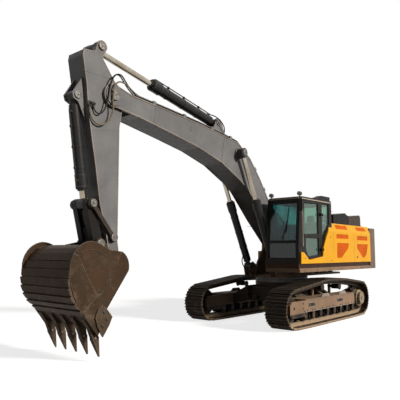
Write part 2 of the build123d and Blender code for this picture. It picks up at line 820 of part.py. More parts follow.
def cab_glass():
    """Fixed panes: windscreens, right, rear and quarter windows, and the roof hatch's pane."""
    thick = 8
    panes = []
    g = SEAT
    for z0, z1, x0, x1 in WINDSCREENS:
        wire = (
            (x0, z0 + g),
            (x0 + thick, z0 + g),
            (x1 + thick, z1 - g),
            (x1, z1 - g),
        )
        panes.append(plate(wire, CAB_INNER + 75 + g, CAB_OUTER - 85 - g))
    panes.append(plate(inset(QUARTER_WINDOW, g), CAB_OUTER - 40, CAB_OUTER - 40 + thick))
    panes.append(block(-60 + g, 1420 - g, CAB_INNER + 20, CAB_INNER + 20 + thick, 2080 + g, WINDOW_HEAD - g))
    panes.append(
        block(
            CAB_REAR + 20,
            CAB_REAR + 20 + thick,
            CAB_INNER + 110 + g,
            CAB_OUTER - 110 - g,
            2760 + g,
            WINDOW_HEAD - g,
        )
    )
    return panes


def roof_hatch():
    """The roof hatch cover, a shallow raised panel, and the low duct box along the roof's left side."""
    cover = block(
        350 + SEAT, 1150 - SEAT, CAB_INNER + 200 + SEAT, CAB_OUTER - 200 - SEAT, CAB_TOP - 40, CAB_TOP + 12
    )
    top = CAB_TOP + 118
    duct = plate(
        ((CAB_REAR + 20, CAB_TOP), (CAB_REAR + 20, top), (330, top), (380, top - 25), (640, CAB_TOP + 35), (680, CAB_TOP)),
        CAB_OUTER - 190,
        CAB_OUTER - 30,
    )
    return [cover, duct]


DOOR_IN = CAB_OUTER - CAB_WALL
HINGE = (DOOR_REAR - 20, HOUSE_HALF + 18)


def door_windows():
    """The door's window openings: upper and lower, as (x, z) outlines."""
    upper = ((600, 2395), (1420, 2370), (1385, WINDOW_HEAD - 20), (600, WINDOW_HEAD + 5))
    lower = ((585, 1838), (1165, 1778), (1320, 1990), (1320, 2300), (585, 2300))
    return upper, lower


def cab_door():
    """The left door, as thick as the wall, with two window openings, knuckles and a handle."""
    leaf = plate(door_outline(6), DOOR_IN, CAB_OUTER)
    leaf = less(leaf, *[plate(window, DOOR_IN - 1, CAB_OUTER + 1) for window in door_windows()])
    pieces = [leaf]
    for z in (1950, 2900):
        pieces.append(block(HINGE[0] - 5, DOOR_REAR + 60, CAB_OUTER, HINGE[1], z, z + 70))
        pieces.append(post(HINGE[0], HINGE[1], 18, z, z + 70))
    pieces.append(block(1300, 1420, CAB_OUTER, CAB_OUTER + 25, 2345, 2375))
    return joined(*pieces)


def door_glass():
    """The door's two panes."""
    panes = []
    for window in door_windows():
        panes.append(plate(inset(window, SEAT), CAB_OUTER - 36, CAB_OUTER - 28))
    return panes


def operator_seat():
    """The seat on its box: cushion, backrest and headrest."""
    floor = DECK_TOP + CAB_WALL
    y = (CAB_INNER + CAB_OUTER) / 2
    base = block(180, 640, y - 190, y + 190, floor, floor + 330)
    cushion = block(140, 690, y - 250, y + 250, floor + 330, floor + 460)
    back = plate(
        (
            (120, floor + 430),
            (260, floor + 430),
            (150, floor + 1080),
            (40, floor + 1080),
        ),
        y - 240,
        y + 240,
    )
    head = plate(((70, floor + 1080), (150, floor + 1080), (110, floor + 1280), (40, floor + 1280)), y - 130, y + 130)
    return joined(base, cushion, back, head)


def cab_consoles():
    """Two side consoles with levers, and the travel pedals' column."""
    floor = DECK_TOP + CAB_WALL
    y = (CAB_INNER + CAB_OUTER) / 2
    pieces = []
    for side in (-1, 1):
        y0, y1 = sorted((y + side * 262, y + side * 375))
        box = block(230, 860, y0, y1, floor, floor + 560)
        lever = bar((760, (y0 + y1) / 2, floor + 550), (800, (y0 + y1) / 2, floor + 760), 22)
        pieces.append(joined(box, lever))
    for side in (-1, 1):
        stalk = bar((1248, y + side * 80, floor + 20), (1170, y + side * 80, floor + 620), 16)
        pedal = block(1180, 1360, y + side * 110 - 45, y + side * 110 + 45, floor, floor + 60)
        pieces.append(joined(pedal, stalk))
    return pieces


def engine():
    """The engine and pumps as one block across the tail bay."""
    low = CARBODY_TOP + 2 * RACE_HEIGHT + 60.5
    return block(-2500, -1250, -500, 500, low + 60, 2450)


def engine_mounts():
    """Four feet between the engine and the deck."""
    low = CARBODY_TOP + 2 * RACE_HEIGHT + 60.5
    return [block(x - 60, x + 60, y - 60, y + 60, low, low + 60) for x in (-2350, -1400) for y in (-420, 420)]


def tanks():
    """Right side, front to rear: a low tool box, the fuel tank and the hydraulic tank."""
    outer = -HOUSE_HALF + 10
    inner = -CENTRE_HALF - 45
    middle = (RIGHT_FRONT + TANKS_END) / 2
    toolbox = block(RIGHT_FRONT + SEAT, RIGHT_DECK_FRONT, outer + 40, inner - 30, DECK_TOP, DECK_TOP + 330)
    fuel = block(middle, RIGHT_FRONT, outer, inner, DECK_TOP, HOOD_Z - 130)
    hydraulic = block(TANKS_END + 5, middle - SEAT, outer, inner, DECK_TOP, HOOD_Z - 20)
    return toolbox, fuel, hydraulic


def roof_lamps():
    """Two round work lamps on the cab's front roof corners, each on a stem."""
    lamps = []
    for y in (CAB_INNER + 60, CAB_OUTER - 60):
        x = CAB_FRONT - 215
        stem = post(x, y, 12, CAB_TOP, CAB_TOP + 40)
        body = Solid.make_cylinder(55, 70, Plane(origin=(x - 35, y, CAB_TOP + 75), z_dir=(1, 0, 0)))
        lamps.append(joined(body, stem))
    return lamps


def handrails():
    """Grab rails: left of the cab front and along the right tanks."""
    x = CAB_FRONT - 150
    y = CAB_OUTER + 50
    low, high = 2060, CAB_TOP - 330
    cab_rail = joined(
        bar((x, y, low), (x, y, high), 14),
        bar((x, CAB_OUTER, low + 20), (x, y, low + 20), 12),
        bar((x, CAB_OUTER, high - 20), (x, y, high - 20), 12),
    )
    y = -HOUSE_HALF + 70
    front, rear = RIGHT_FRONT - 60, TANKS_END + 60
    foot, top = HOOD_Z - 130, HOOD_Z + 330
    tank_rail = joined(
        bar((front, y, foot), (front, y, top), 18),
        bar((front, y, top), (rear, y, top), 18),
        bar((rear, y, top), (rear, y, HOOD_Z - 20), 18),
        bar((front, y, top - 230), (rear, y, top - 230), 14),
    )
    return [cab_rail, tank_rail]


def mirrors():
    """A mirror on each side: a tall one on the cab's front corner, one on the right tank's front."""
    x, y = CAB_FRONT - 20, CAB_OUTER + 40
    left = joined(
        bar((CAB_FRONT - 145, CAB_OUTER, MIRROR_TOP + 30), (x + 10, y + 30, MIRROR_TOP + 30), 10),
        block(x, x + 26, y, y + 90, MIRROR_TOP - 250, MIRROR_TOP + 60),
    )
    left = less(left, block(CAB_REAR, CAB_FRONT + 100, CAB_INNER, CAB_OUTER, MIRROR_TOP - 110, CAB_TOP))
    x, y = RIGHT_FRONT, -HOUSE_HALF + 70
    low = HOOD_Z - 150
    right = joined(
        bar((x, y + 120, low), (x + 110, y + 120, low), 10),
        block(x + 100, x + 126, y + 30, y + 210, low - 20, low + 260),
    )
    return left, right


def exhaust():
    """The exhaust stack on the right of the hood."""
    stack = post(-1900, -400, 75, HOOD_Z, HOOD_Z + 330)
    return less(stack, post(-1900, -400, 62, HOOD_Z + 40, HOOD_Z + 331))


# Digging gear


def boom_profile():
    """The boom's side outline: foot, raised knee and long nose."""
    fx, fz = BOOM_FOOT
    start = (fx + 150, fz - 130)
    steps = (
        ((fx - 60, fz - 185), (fx - 195, fz + 40)),
        ((fx - 190, fz + 90), (fx - 120, fz + 190)),
        (1180, 3350),
        (1590, 3880),
        ((2050, 4370), (2640, 4745)),
        (3180, 4825),
        (4150, 4930),
        (5180, 5010),
        (6300, 5085),
        (ARM_PIVOT[0] - 60, ARM_PIVOT[1] + 225),
        ((ARM_PIVOT[0] + 235, ARM_PIVOT[1]), (ARM_PIVOT[0] - 60, ARM_PIVOT[1] - 225)),
        (6060, 4670),
        (5010, 4500),
        (4150, 4350),
        (3300, 4120),
        ((2600, 3800), (2090, 3480)),
        (1370, 2800),
    )
    return start, steps


def boom():
    """The boom: a curved box with a forked nose, bosses for its pins and ears for the arm cylinder."""
    start, steps = boom_profile()
    body = curved_plate(start, steps, -BOOM_HALF, BOOM_HALF)
    ax, az = ARM_PIVOT
    pieces = [body]
    # bosses: centre, radius, outer face
    for centre, radius, face in (
        (ARM_PIVOT, 210, BOOM_HALF + 30),
        (BOOM_CYL_EYE, 150, BOOM_HALF + 40),
    ):
        pieces += both(drum(centre, radius, BOOM_HALF, face))
    # ears that carry the arm cylinder's base
    bx, bz = ARM_CYL_BASE
    ear = (
        (bx - 330, 4790),
        (bx + 300, 4830),
        (bx + 130, bz - 20),
        (bx + 60, bz + 110),
        (bx - 70, bz + 110),
        (bx - 150, bz + 10),
    )
    ear_in = EYE_HALF + SIDE_GAP
    for side in both(plate(ear, ear_in, ear_in + 45)):
        pieces.append(side)
    whole = joined(*pieces)
    slot_half = ARM_HALF + SIDE_GAP
    cuts = [
        block(6270, ax + 400, -slot_half, slot_half, az - 500, az + 500),
        drum(ARM_PIVOT, 70 + FIT, -BOOM_HALF - 60, BOOM_HALF + 60),
        drum(BOOM_FOOT, 75 + FIT, -BOOM_HALF - 1, BOOM_HALF + 1),
        drum(ARM_CYL_BASE, 50 + FIT, -ear_in - 60, ear_in + 60),
    ]
    return less(whole, *cuts)


def capped_pin(centre, radius, half, cap_radius, cap):
    """A pin across the machine with a cap at each end."""
    shaft = drum(centre, radius, -half, half)
    return joined(shaft, *both(drum(centre, cap_radius, half, half + cap)))


def house_pins():
    """The boom's foot pin and the two boom cylinder base pins."""
    ear_out = BOOM_HALF + 60
    base = joined(
        drum(BOOM_CYL_BASE, 55, 316, 524),
        drum(BOOM_CYL_BASE, 75, 524, 532),
    )
    return [capped_pin(BOOM_FOOT, 75, ear_out + SEAT, 105, 22)] + both(base)


def boom_pins():
    """The arm's pivot pin and the arm cylinder's base pin."""
    ear_out = EYE_HALF + SIDE_GAP + 45
    return [
        capped_pin(ARM_PIVOT, 70, BOOM_HALF + 30 + SEAT, 105, 25),
        capped_pin(ARM_CYL_BASE, 50, ear_out + SEAT, 72, 15),
    ]


# Cylinders: each is a tube with a base eye, and a rod with an eye at its far end
# base, eye, half spacing or None for one in the middle, tube radius, rod radius, head distance,
# travel in, travel out, base eye radius, rod eye radius
CYLINDERS = {
    "boom": (BOOM_CYL_BASE, BOOM_CYL_EYE, BOOM_CYL_Y, 103, 58, 1970, 1075, 400, 105, 125),
    "arm": (ARM_CYL_BASE, ARM_CYL_EYE, 0, 118, 65, 2265, 1215, 415, 115, 100),
    "bucket": (BUCKET_CYL_BASE, LINK_EYE, 0, 100, 58, 1745, 85, 1180, 100, 105),
}


def at_side(point, y):
    """A point (x, z) as a point in space at y."""
    return (point[0], y, point[1])


def cylinder_tube(key, pin_radius, eye_half):
    """A cylinder's tube: base eye, barrel, gland and ports, bored for its rod."""
    base, eye, y, barrel, rod, head, _, travel_out, base_eye, _ = CYLINDERS[key]
    gland = 90
    end = along(base, eye, head)
    start = along(base, eye, base_eye + 75)
    neck = bar(at_side(along(base, eye, base_eye / 2), y), at_side(start, y), eye_half - 10)
    body = bar(at_side(start, y), at_side(end, y), barrel)
    collar = bar(at_side(along(base, eye, head - 260), y), at_side(end, y), barrel + 16)
    nose = bar(at_side(end, y), at_side(along(base, eye, head + gland / 2), y), rod + 28)
    foot = drum(base, base_eye, y - eye_half, y + eye_half)
    whole = joined(body, neck, collar, nose, foot)
    inside = head - travel_out - 150 - CYLINDERS[key][6] - 20
    bore = bar(
        at_side(along(base, eye, inside), y), at_side(along(base, eye, head + gland), y), rod + FIT
    )
    return less(whole, bore, drum(base, pin_radius + FIT, y - eye_half - 1, y + eye_half + 1))


def cylinder_rod(key, eye_half):
    """A cylinder's rod from inside its tube to its solid eye."""
    base, eye, y, _, rod, head, _, travel_out, _, rod_eye = CYLINDERS[key]
    start = along(base, eye, head - travel_out - 150)
    return joined(
        bar(at_side(start, y), at_side(eye, y), rod),
        drum(eye, rod_eye, y - eye_half, y + eye_half),
    )


def boom_cylinder_rod():
    """The left boom cylinder's rod, its eye carrying the pin's end against the boom's boss."""
    base, eye, y = BOOM_CYL_BASE, BOOM_CYL_EYE, BOOM_CYL_Y
    rod = cylinder_rod("boom", 85)
    inner = BOOM_HALF + 40 + 0.8
    stub = drum(eye, 80, inner, y - 85)
    cap = drum(eye, 85, y + 85, y + 100)
    return joined(rod, stub, cap)


def arm_profile():
    """The arm's side outline, from the bucket pivot up the rear edge and down the front."""
    bx, bz = BUCKET_PIVOT
    px, pz = ARM_PIVOT
    start = (bx - 130, bz + 30)
    steps = (
        (6545, 2100),
        (6555, 4360),
        (px - 275, pz - 120),
        ((px - 300, pz + 20), (px - 235, pz + 190)),
        (px - 60, pz + 300),
        (7010, 5660),
        (ARM_CYL_EYE[0] - 125, ARM_CYL_EYE[1] - 20),
        ((ARM_CYL_EYE[0] - 10, ARM_CYL_EYE[1] + 115), (ARM_CYL_EYE[0] + 110, ARM_CYL_EYE[1] - 20)),
        (7190, 5735),
        (7445, 5700),
        (7465, 5590),
        (7360, 5030),
        (7310, 4560),
        (7225, 4090),
        (7115, 3540),
        (6985, 2790),
        (6830, 2300),
        (bx + 128, bz + 45),
        ((bx + 5, bz - 138), (bx - 130, bz + 30)),
    )
    return start, steps


def arm():
    """The arm: a tapered box with ears for its own and the bucket's cylinder, and a bored pivot."""
    start, steps = arm_profile()
    pieces = [curved_plate(start, steps, -ARM_HALF, ARM_HALF)]
    # ears on the front edge for the bucket cylinder's base
    bx, bz = BUCKET_CYL_BASE
    ear_in = EYE_HALF + SIDE_GAP
    ear = (
        (7290, bz - 480),
        (bx - 20, bz - 130),
        (bx + 90, bz - 80),
        (bx + 120, bz + 20),
        (bx + 60, bz + 110),
        (7370, bz + 420),
    )
    for side in both(plate(ear, ear_in, ear_in + 45)):
        pieces.append(side)
    whole = joined(*pieces)
    slot = (
        (6700, 5640),
        (7180, 5640),
        (7250, 5725),
        (7600, 5725),
        (7600, 6400),
        (6700, 6400),
    )
    cuts = [
        plate(slot, -EYE_HALF - SIDE_GAP, EYE_HALF + SIDE_GAP),
        drum(ARM_PIVOT, 70 + FIT, -ARM_HALF - 1, ARM_HALF + 1),
        drum(BUCKET_PIVOT, 55 + FIT, -ARM_HALF - 1, ARM_HALF + 1),
        drum(LINK_PIVOT, 50 + FIT, -ARM_HALF - 1, ARM_HALF + 1),
        drum(BUCKET_CYL_BASE, 50 + FIT, -ear_in - 60, ear_in + 60),
    ]
    return less(whole, *cuts)


def arm_pins():
    """The bucket cylinder's base pin, the side links' pivot pin and caps over the rod's ears."""
    ear_out = EYE_HALF + SIDE_GAP + 45
    link_out = ARM_HALF + 10 + 55
    return [
        capped_pin(BUCKET_CYL_BASE, 50, ear_out + SEAT, 72, 15),
        capped_pin(LINK_PIVOT, 50, link_out + SEAT, 78, 18),
    ] + both(drum(ARM_CYL_EYE, 82, ARM_HALF, ARM_HALF + 22))


def side_link():
    """The left side link, from the arm to the rod's eye."""
    inner = ARM_HALF + 10
    outer = inner + 55
    half = 40
    a, b = LINK_PIVOT, LINK_EYE
    strap = plate(
        (along(a, b, 0, half), along(a, b, 0, -half), along(b, a, 0, half), along(b, a, 0, -half)),
        inner,
        outer,
    )
    ends = [drum(a, 88, inner, outer), drum(b, 92, inner, outer), drum(b, 74, outer, outer + 22)]
    collar = drum(b, 80, ARM_HALF + 0.8, inner)
    return less(joined(strap, *ends, collar), drum(a, 50 + FIT, inner - 20, outer + 30))


def h_link():
    """The link from the rod's eye to the bucket: two legs, a web and a boss at each end."""
    a, b = LINK_EYE, BUCKET_EYE
    outer = ARM_HALF - 1
    inner = EYE_HALF + SIDE_GAP
    half = 92
    pieces = []
    for side in (-1, 1):
        y0, y1 = sorted((side * inner, side * outer))
        pieces.append(drum(a, 108, y0, y1))
        pieces.append(
            plate(
                (along(a, b, 0, half), along(a, b, 0, -half), along(b, a, 0, half), along(b, a, 0, -half)),
                y0,
                y1,
            )
        )
    pieces.append(drum(b, 96, -outer, outer))
    web_start = 450
    web = (
        along(a, b, web_start, 45),
        along(a, b, web_start, -45),
        along(b, a, 60, 45),
        along(b, a, 60, -45),
    )
    pieces.append(plate(web, -inner, inner))
    return less(joined(*pieces), drum(b, 55 + FIT, -outer - 1, outer + 1))


def arc_centre(a, b, c):
    """The centre and radius of the circle through three points."""
    ax, ay, bx, by, cx, cy = *a, *b, *c
    d = 2 * (ax * (by - cy) + bx * (cy - ay) + cx * (ay - by))
    ux = ((ax**2 + ay**2) * (by - cy) + (bx**2 + by**2) * (cy - ay) + (cx**2 + cy**2) * (ay - by)) / d
    uy = ((ax**2 + ay**2) * (cx - bx) + (bx**2 + by**2) * (ax - cx) + (cx**2 + cy**2) * (bx - ax)) / d
    return (ux, uy), math.dist((ux, uy), a)


WRAP_START = (6870, 1850)
WRAP_TOP = (7450, 2030)
WRAP_BACK = (7950, 1560)
WRAP_TURN = (7740, 940)
LIP = (7420, 610)


def bucket_side(y0, y1):
    """A slab in the outline of the left side plate, between two faces."""
    tip = (7370, 465)
    steps = (
        ((6725, 1765), (6707, 1560)),
        (7185, 917),
        (7300, 640),
        tip,
        (7657, 834),
        (7740, 960),
        ((7905, 1260), (7965, 1620)),
        ((7872, 1915), (7575, 2088)),
        ((7430, 2068), (7295, 2006)),
        (7137, 1940),
    )
    return curved_plate((6871, 1911), steps, y0, y1)


def bucket_sides():
    """The left side plate, with its raised rim, front band and rear plate."""
    face = BUCKET_WIDTH / 2
    y0 = face - SIDE_PLATE
    corner = (6972, 1780)
    cream = ((7902, 1883), (7801, 1833), (7553, 1392), (7388, 1163), (7669, 901))
    hollow = (corner, (7075, 1786), (7233, 1831), (7388, 1901), (7517, 1938), (7642, 1931), (7722, 1900))
    far = ((8100, 1900), (8100, 300), (6600, 300), (6600, 1750))
    band_rear = ((6860, 1925), (6962, 1782), (7242, 1243), (7316, 1178), (7388, 1163), (7669, 901), (7650, 820))
    # depth above the side plate's face, and the outlines cut from the slab
    layers = (
        (12, [plate(hollow + far, face - 1, face + 30)]),
        (20, [plate(band_rear + ((8200, 820), (8200, 2300), (6860, 2300)), face - 1, face + 30)]),
        (8, [plate(cream + ((7650, 820), (7350, 400), (6600, 400), (6600, 2300), (7902, 2300)), face - 1, face + 30)]),
    )
    slabs = [less(bucket_side(face - 4, face + depth), *cuts) for depth, cuts in layers]
    return joined(bucket_side(y0, face), *slabs)


def bucket():
    """The rock bucket: a curved wrapper, two side plates, a thick lip and ears."""
    half = BUCKET_WIDTH / 2
    centre, radius = arc_centre(WRAP_TOP, WRAP_BACK, WRAP_TURN)

    def inward(point, depth):
        return along(point, centre, depth)

    t = WRAPPER
    wrap_steps = (
        WRAP_TOP,
        (WRAP_BACK, WRAP_TURN),
        LIP,
        along(LIP, (LIP[0] - 100, LIP[1] + 100), 1.6 * t),
        inward(WRAP_TURN, t),
        (inward(WRAP_BACK, t), inward(WRAP_TOP, t)),
        (WRAP_START[0] + 10, WRAP_START[1] - t),
    )
    wrapper = curved_plate(WRAP_START, wrap_steps, -half + 1, half - 1)
    # ears between which arm and link sit
    ear_in = ARM_HALF + 10
    ear_out = ear_in + 60
    bx, bz = BUCKET_PIVOT
    ex, ez = BUCKET_EYE
    ear_steps = (
        ((bx - 8, bz + 140), (bx - 90, bz + 110)),
        ((bx - 140, bz), (bx - 60, bz - 127)),
        ((bx + 40, bz - 132), (bx + 120, bz - 70)),
        (6950, 1700),
        (7390, 1950),
        (7350, 2040),
        (ex + 95, ez + 40),
        ((ex + 20, ez + 105), (ex - 80, ez + 75)),
    )
    ears = both(curved_plate((bx + 60, bz + 127), ear_steps, ear_in, ear_out))
    # torque tube under the start of the wrapper
    tube = plate(
        ((6790, 1760), (6870, 1850), (6960, 1860), (6990, 1760), (6880, 1700)),
        -half + SIDE_PLATE,
        half - SIDE_PLATE,
    )
    whole = joined(wrapper, *both(bucket_sides()), *ears, tube)
    bores = [drum(BUCKET_PIVOT, 55 + FIT, -ear_out - 1, ear_out + 1)]
    bores.append(drum(BUCKET_EYE, 55 + FIT, -ear_out - 1, ear_out + 1))
    clear = drum(BUCKET_PIVOT, 190, -ear_in, ear_in)
    return less(whole, *bores, clear)


def wear_strips():
    """Wear strips across the back of the bucket, close together like clapboards."""
    half = BUCKET_WIDTH / 2
    centre, radius = arc_centre(WRAP_TOP, WRAP_BACK, WRAP_TURN)
    back = drum(centre, radius, -BUCKET_WIDTH, BUCKET_WIDTH)
    start = math.atan2(WRAP_TOP[1] - centre[1], WRAP_TOP[0] - centre[0]) - math.radians(22)
    end = math.atan2(WRAP_TURN[1] - centre[1], WRAP_TURN[0] - centre[0])
    count = 8
    step = (end - start) / count
    sides = both(bucket_sides())
    strips = []
    for i in range(count):
        angle = start + (i + 0.5) * step
        ux, uz = math.cos(angle), math.sin(angle)
        width = -step * radius * 0.86
        # each strip is thick on its upper edge and thin on its lower edge
        corners = [
            (centre[0] + ux * r - uz * s, centre[1] + uz * r + ux * s)
            for r, s in (
                (radius - 12, -width / 2),
                (radius + 12, -width / 2),
                (radius + 30, width / 2),
                (radius - 12, width / 2),
            )
        ]
        strips.append(less(plate(corners, -half + 1, half - 1), back, *sides))
    # the last one lies on the flat stretch before the lip
    last = (
        along(WRAP_TURN, LIP, 25, SEAT),
        along(WRAP_TURN, LIP, 25, 28),
        along(WRAP_TURN, LIP, 170, 12),
        along(WRAP_TURN, LIP, 170, SEAT),
    )
    strips.append(less(plate(last, -half + 1, half - 1), *sides))
    return strips


def side_cutters():
    """The bolted cutters on the side plates' leading edges."""
    face = BUCKET_WIDTH / 2 + 20 + SEAT
    cutter = (
        (7304, 988),
        (7200, 900),
        (7089, 772),
        (7150, 640),
        (7288, 444),
        (7330, 500),
        (7411, 643),
        (7425, 700),
        (7457, 782),
        (7399, 928),
    )
    holes = [drum(place, 17, face - 1, face + 35) for place in ((7276, 867), (7300, 640), (7206, 740))]
    return both(less(plate(cutter, face, face + 32), *holes))


def tooth_places():
    """The y of each tooth's middle."""
    count = 5
    span = BUCKET_WIDTH - 74
    return [-span / 2 + 60 + i * (span - 120) / (count - 1) for i in range(count)]


TOOTH_TIP = (7255, 95)


def tapered(a, b, y, wide_a, thick_a, wide_b, thick_b):
    """A solid from a to b in the plane of (x, z), with a rectangular section at each end."""
    length = math.dist(a, b)
    direction = Vector((b[0] - a[0]) / length, 0, (b[1] - a[1]) / length)
    across = Vector(0, 1, 0)
    normal = direction.cross(across)
    rings = []
    for (px, pz), wide, thick in ((a, wide_a, thick_a), (b, wide_b, thick_b)):
        middle = Vector(px, y, pz)
        corners = [
            middle + across * (sy * wide / 2) + normal * (sn * thick / 2)
            for sy, sn in ((-1, -1), (1, -1), (1, 1), (-1, 1))
        ]
        rings.append(corners)
    near, far = rings
    sides = [(near[k], near[(k + 1) % 4], far[(k + 1) % 4], far[k]) for k in range(4)]
    faces = [Face(Wire.make_polygon(list(ring), close=True)) for ring in (near, far, *sides)]
    return Solid(Shell(faces))


def tooth_adapters():
    """The adapters that grip the lip, one for each tooth, with a long arm outside it."""
    width = 92
    inside = along(LIP, (LIP[0] - 100, LIP[1] + 100), 1.6 * WRAPPER)
    lip_cut = plate(
        (LIP, WRAP_TURN, along(WRAP_TURN, (WRAP_TURN[0] - 100, WRAP_TURN[1] + 100), WRAPPER * 3), inside),
        -BUCKET_WIDTH,
        BUCKET_WIDTH,
    )
    outline = (
        along(LIP, WRAP_TURN, 265, 2),
        along(LIP, WRAP_TURN, 240, -34),
        along(LIP, WRAP_TURN, 40, -66),
        along(LIP, TOOTH_TIP, 190, 58),
        along(LIP, TOOTH_TIP, 190, -58),
        along(LIP, TOOTH_TIP, 20, -82),
        along(LIP, WRAP_TURN, 120, 78),
    )
    adapters = []
    for y in tooth_places():
        tooth = tapered(along(LIP, TOOTH_TIP, 190), TOOTH_TIP, y, 200, 300, 200, 300)
        adapters.append(less(plate(outline, y - width / 2, y + width / 2), lip_cut, tooth))
    return adapters


def bucket_teeth():
    """The pointed teeth on the adapters."""
    start = along(LIP, TOOTH_TIP, 190)
    return [tapered(start, TOOTH_TIP, y, 108, 128, 34, 16) for y in tooth_places()]


def bucket_pins():
    """The bucket's two pins."""
    ear_out = ARM_HALF + 70
    return [
        capped_pin(BUCKET_PIVOT, 55, ear_out + SEAT, 85, 18),
        capped_pin(BUCKET_EYE, 55, ear_out + SEAT, 85, 18),
    ]


BOOM_TOP = ((1000, 3167), (1180, 3350), (1590, 3880), (2050, 4370), (2640, 4745), (3180, 4825), (4150, 4930),
            (5180, 5010), (6080, 5069))


def boom_pipes():
    """Three steel pipes along the boom's top, each run in one piece, held by clamp blocks."""
    height = 58
    route = []
    count = len(BOOM_TOP)
    for i, point in enumerate(BOOM_TOP):
        before, after = BOOM_TOP[max(i - 1, 0)], BOOM_TOP[min(i + 1, count - 1)]
        tx, tz = after[0] - before[0], after[1] - before[1]
        size = math.hypot(tx, tz)
        route.append((point[0] - tz / size * height, point[1] + tx / size * height))
    radius = 17
    pieces = []
    for y in (150, 200, 250):
        for a, b in zip(route, route[1:]):
            pieces.append(bar((a[0], y, a[1]), (b[0], y, b[1]), radius))
        for place in route[1:-1]:
            pieces.append(Solid.make_sphere(radius, Plane(origin=(place[0], y, place[1])), -90, 90, 360))
    for a, b in zip(BOOM_TOP[1:], BOOM_TOP[2:]):
        if a == (2050, 4370):
            continue
        half = math.dist(a, b) / 2
        pieces.append(
            plate(
                (
                    along(a, b, half - 45, -30),
                    along(a, b, half + 45, -30),
                    along(a, b, half + 45, height + 26),
                    along(a, b, half - 45, height + 26),
                ),
                118,
                282,
            )
        )
    return joined(*pieces)


def build():
    """Write every node."""
    os.makedirs("parts", exist_ok=True)
    pins, pitch = belt_pins()
    left_track = track(pins, pitch)
    frame = track_frame()
    write("track_left", left_track)
    write("track_right", mirrored(left_track))
    write("track_frame_left", frame)
    write("track_frame_right", mirrored(frame))
    write("idlers", both(idler(pins)))
    write("sprockets", both(sprocket(pins)))
    write("final_drives", both(final_drive()))
    write("bottom_rollers", [s for roller in bottom_rollers(pins) for s in both(roller)])
    write("carrier_rollers", [s for roller in carrier_rollers(pins) for s in both(roller)])
    write("carbody", carbody())
    write("slewing_ring_lower", ring(RING_OUTER, RING_INNER, CARBODY_TOP, CARBODY_TOP + RACE_HEIGHT))

    race = CARBODY_TOP + RACE_HEIGHT + 0.5
    write("slewing_ring_upper", ring(RING_OUTER - 30, RING_INNER - 20, race, race + RACE_HEIGHT))
    write("turntable_frame", turntable())
    write("house_pins", house_pins())
    write("side_decks", side_deck(DECK_FRONT), mirrored(side_deck(RIGHT_DECK_FRONT)))
    write("skirt_rails", skirt_rail(DECK_FRONT), mirrored(skirt_rail(RIGHT_DECK_FRONT)))
    write("counterweight", counterweight())
    write("side_panels_left", side_panels(True))
    write("side_panels_right", mirrored(side_panels(False)))
    write("vent_grilles", vent_grilles(True), [mirrored(grille) for grille in vent_grilles(False)])
    write("engine_hood", hood())
    intake, cover = hood_boxes()
    write("intake_box", intake)
    write("hood_cover", cover)
    write("exhaust_stack", exhaust())
    write("engine_block", joined(engine(), *engine_mounts()))
    toolbox, fuel, hydraulic = tanks()
    write("tool_box", toolbox)
    write("fuel_tank", fuel)
    write("hydraulic_tank", hydraulic)
    write("cab_shell", cab_shell())
    write("cab_glass", cab_glass())
    write("roof_hatch", roof_hatch())
    write("roof_lamps", roof_lamps())
    write("operator_seat", operator_seat())
    write("cab_consoles", cab_consoles())
    write("handrails", handrails())
    write("mirrors", *mirrors())
    write("cab_door", cab_door())
    write("door_glass", door_glass())

    write("boom", joined(boom(), boom_pipes()))
    write("boom_pins", boom_pins())
    write("boom_cylinder_tubes", both(cylinder_tube("boom", 55, 70)))
    write("boom_cylinder_rods", both(boom_cylinder_rod()))
    write("arm_cylinder_tube", cylinder_tube("arm", 50, EYE_HALF))
    write("arm_cylinder_rod", cylinder_rod("arm", EYE_HALF))
    write("arm", arm())
    write("arm_pins", arm_pins())
    write("bucket_cylinder_tube", cylinder_tube("bucket", 50, EYE_HALF))
    write("bucket_cylinder_rod", cylinder_rod("bucket", EYE_HALF))
    write("side_links", both(side_link()))
    write("h_link", h_link())
    write("bucket", bucket())
    write("bucket_wear_strips", wear_strips())
    write("side_cutters", side_cutters())
    write("tooth_adapters", tooth_adapters())
    write("bucket_teeth", bucket_teeth())
    write("bucket_pins", bucket_pins())


build()
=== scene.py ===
import json
import math

import bmesh
import bpy
import numpy as np
from mathutils import Matrix, Vector


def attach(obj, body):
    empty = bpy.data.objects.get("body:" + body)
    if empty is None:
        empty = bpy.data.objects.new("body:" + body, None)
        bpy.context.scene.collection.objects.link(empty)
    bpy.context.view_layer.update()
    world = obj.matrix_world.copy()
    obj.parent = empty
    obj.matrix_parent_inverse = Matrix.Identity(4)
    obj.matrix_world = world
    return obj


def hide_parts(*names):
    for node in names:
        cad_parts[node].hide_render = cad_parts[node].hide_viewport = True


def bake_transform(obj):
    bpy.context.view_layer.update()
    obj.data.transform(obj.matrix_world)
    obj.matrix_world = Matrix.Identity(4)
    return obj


# A crawler excavator with a charcoal boom and a rock bucket. Metres; +X forward, +Y left, +Z up.

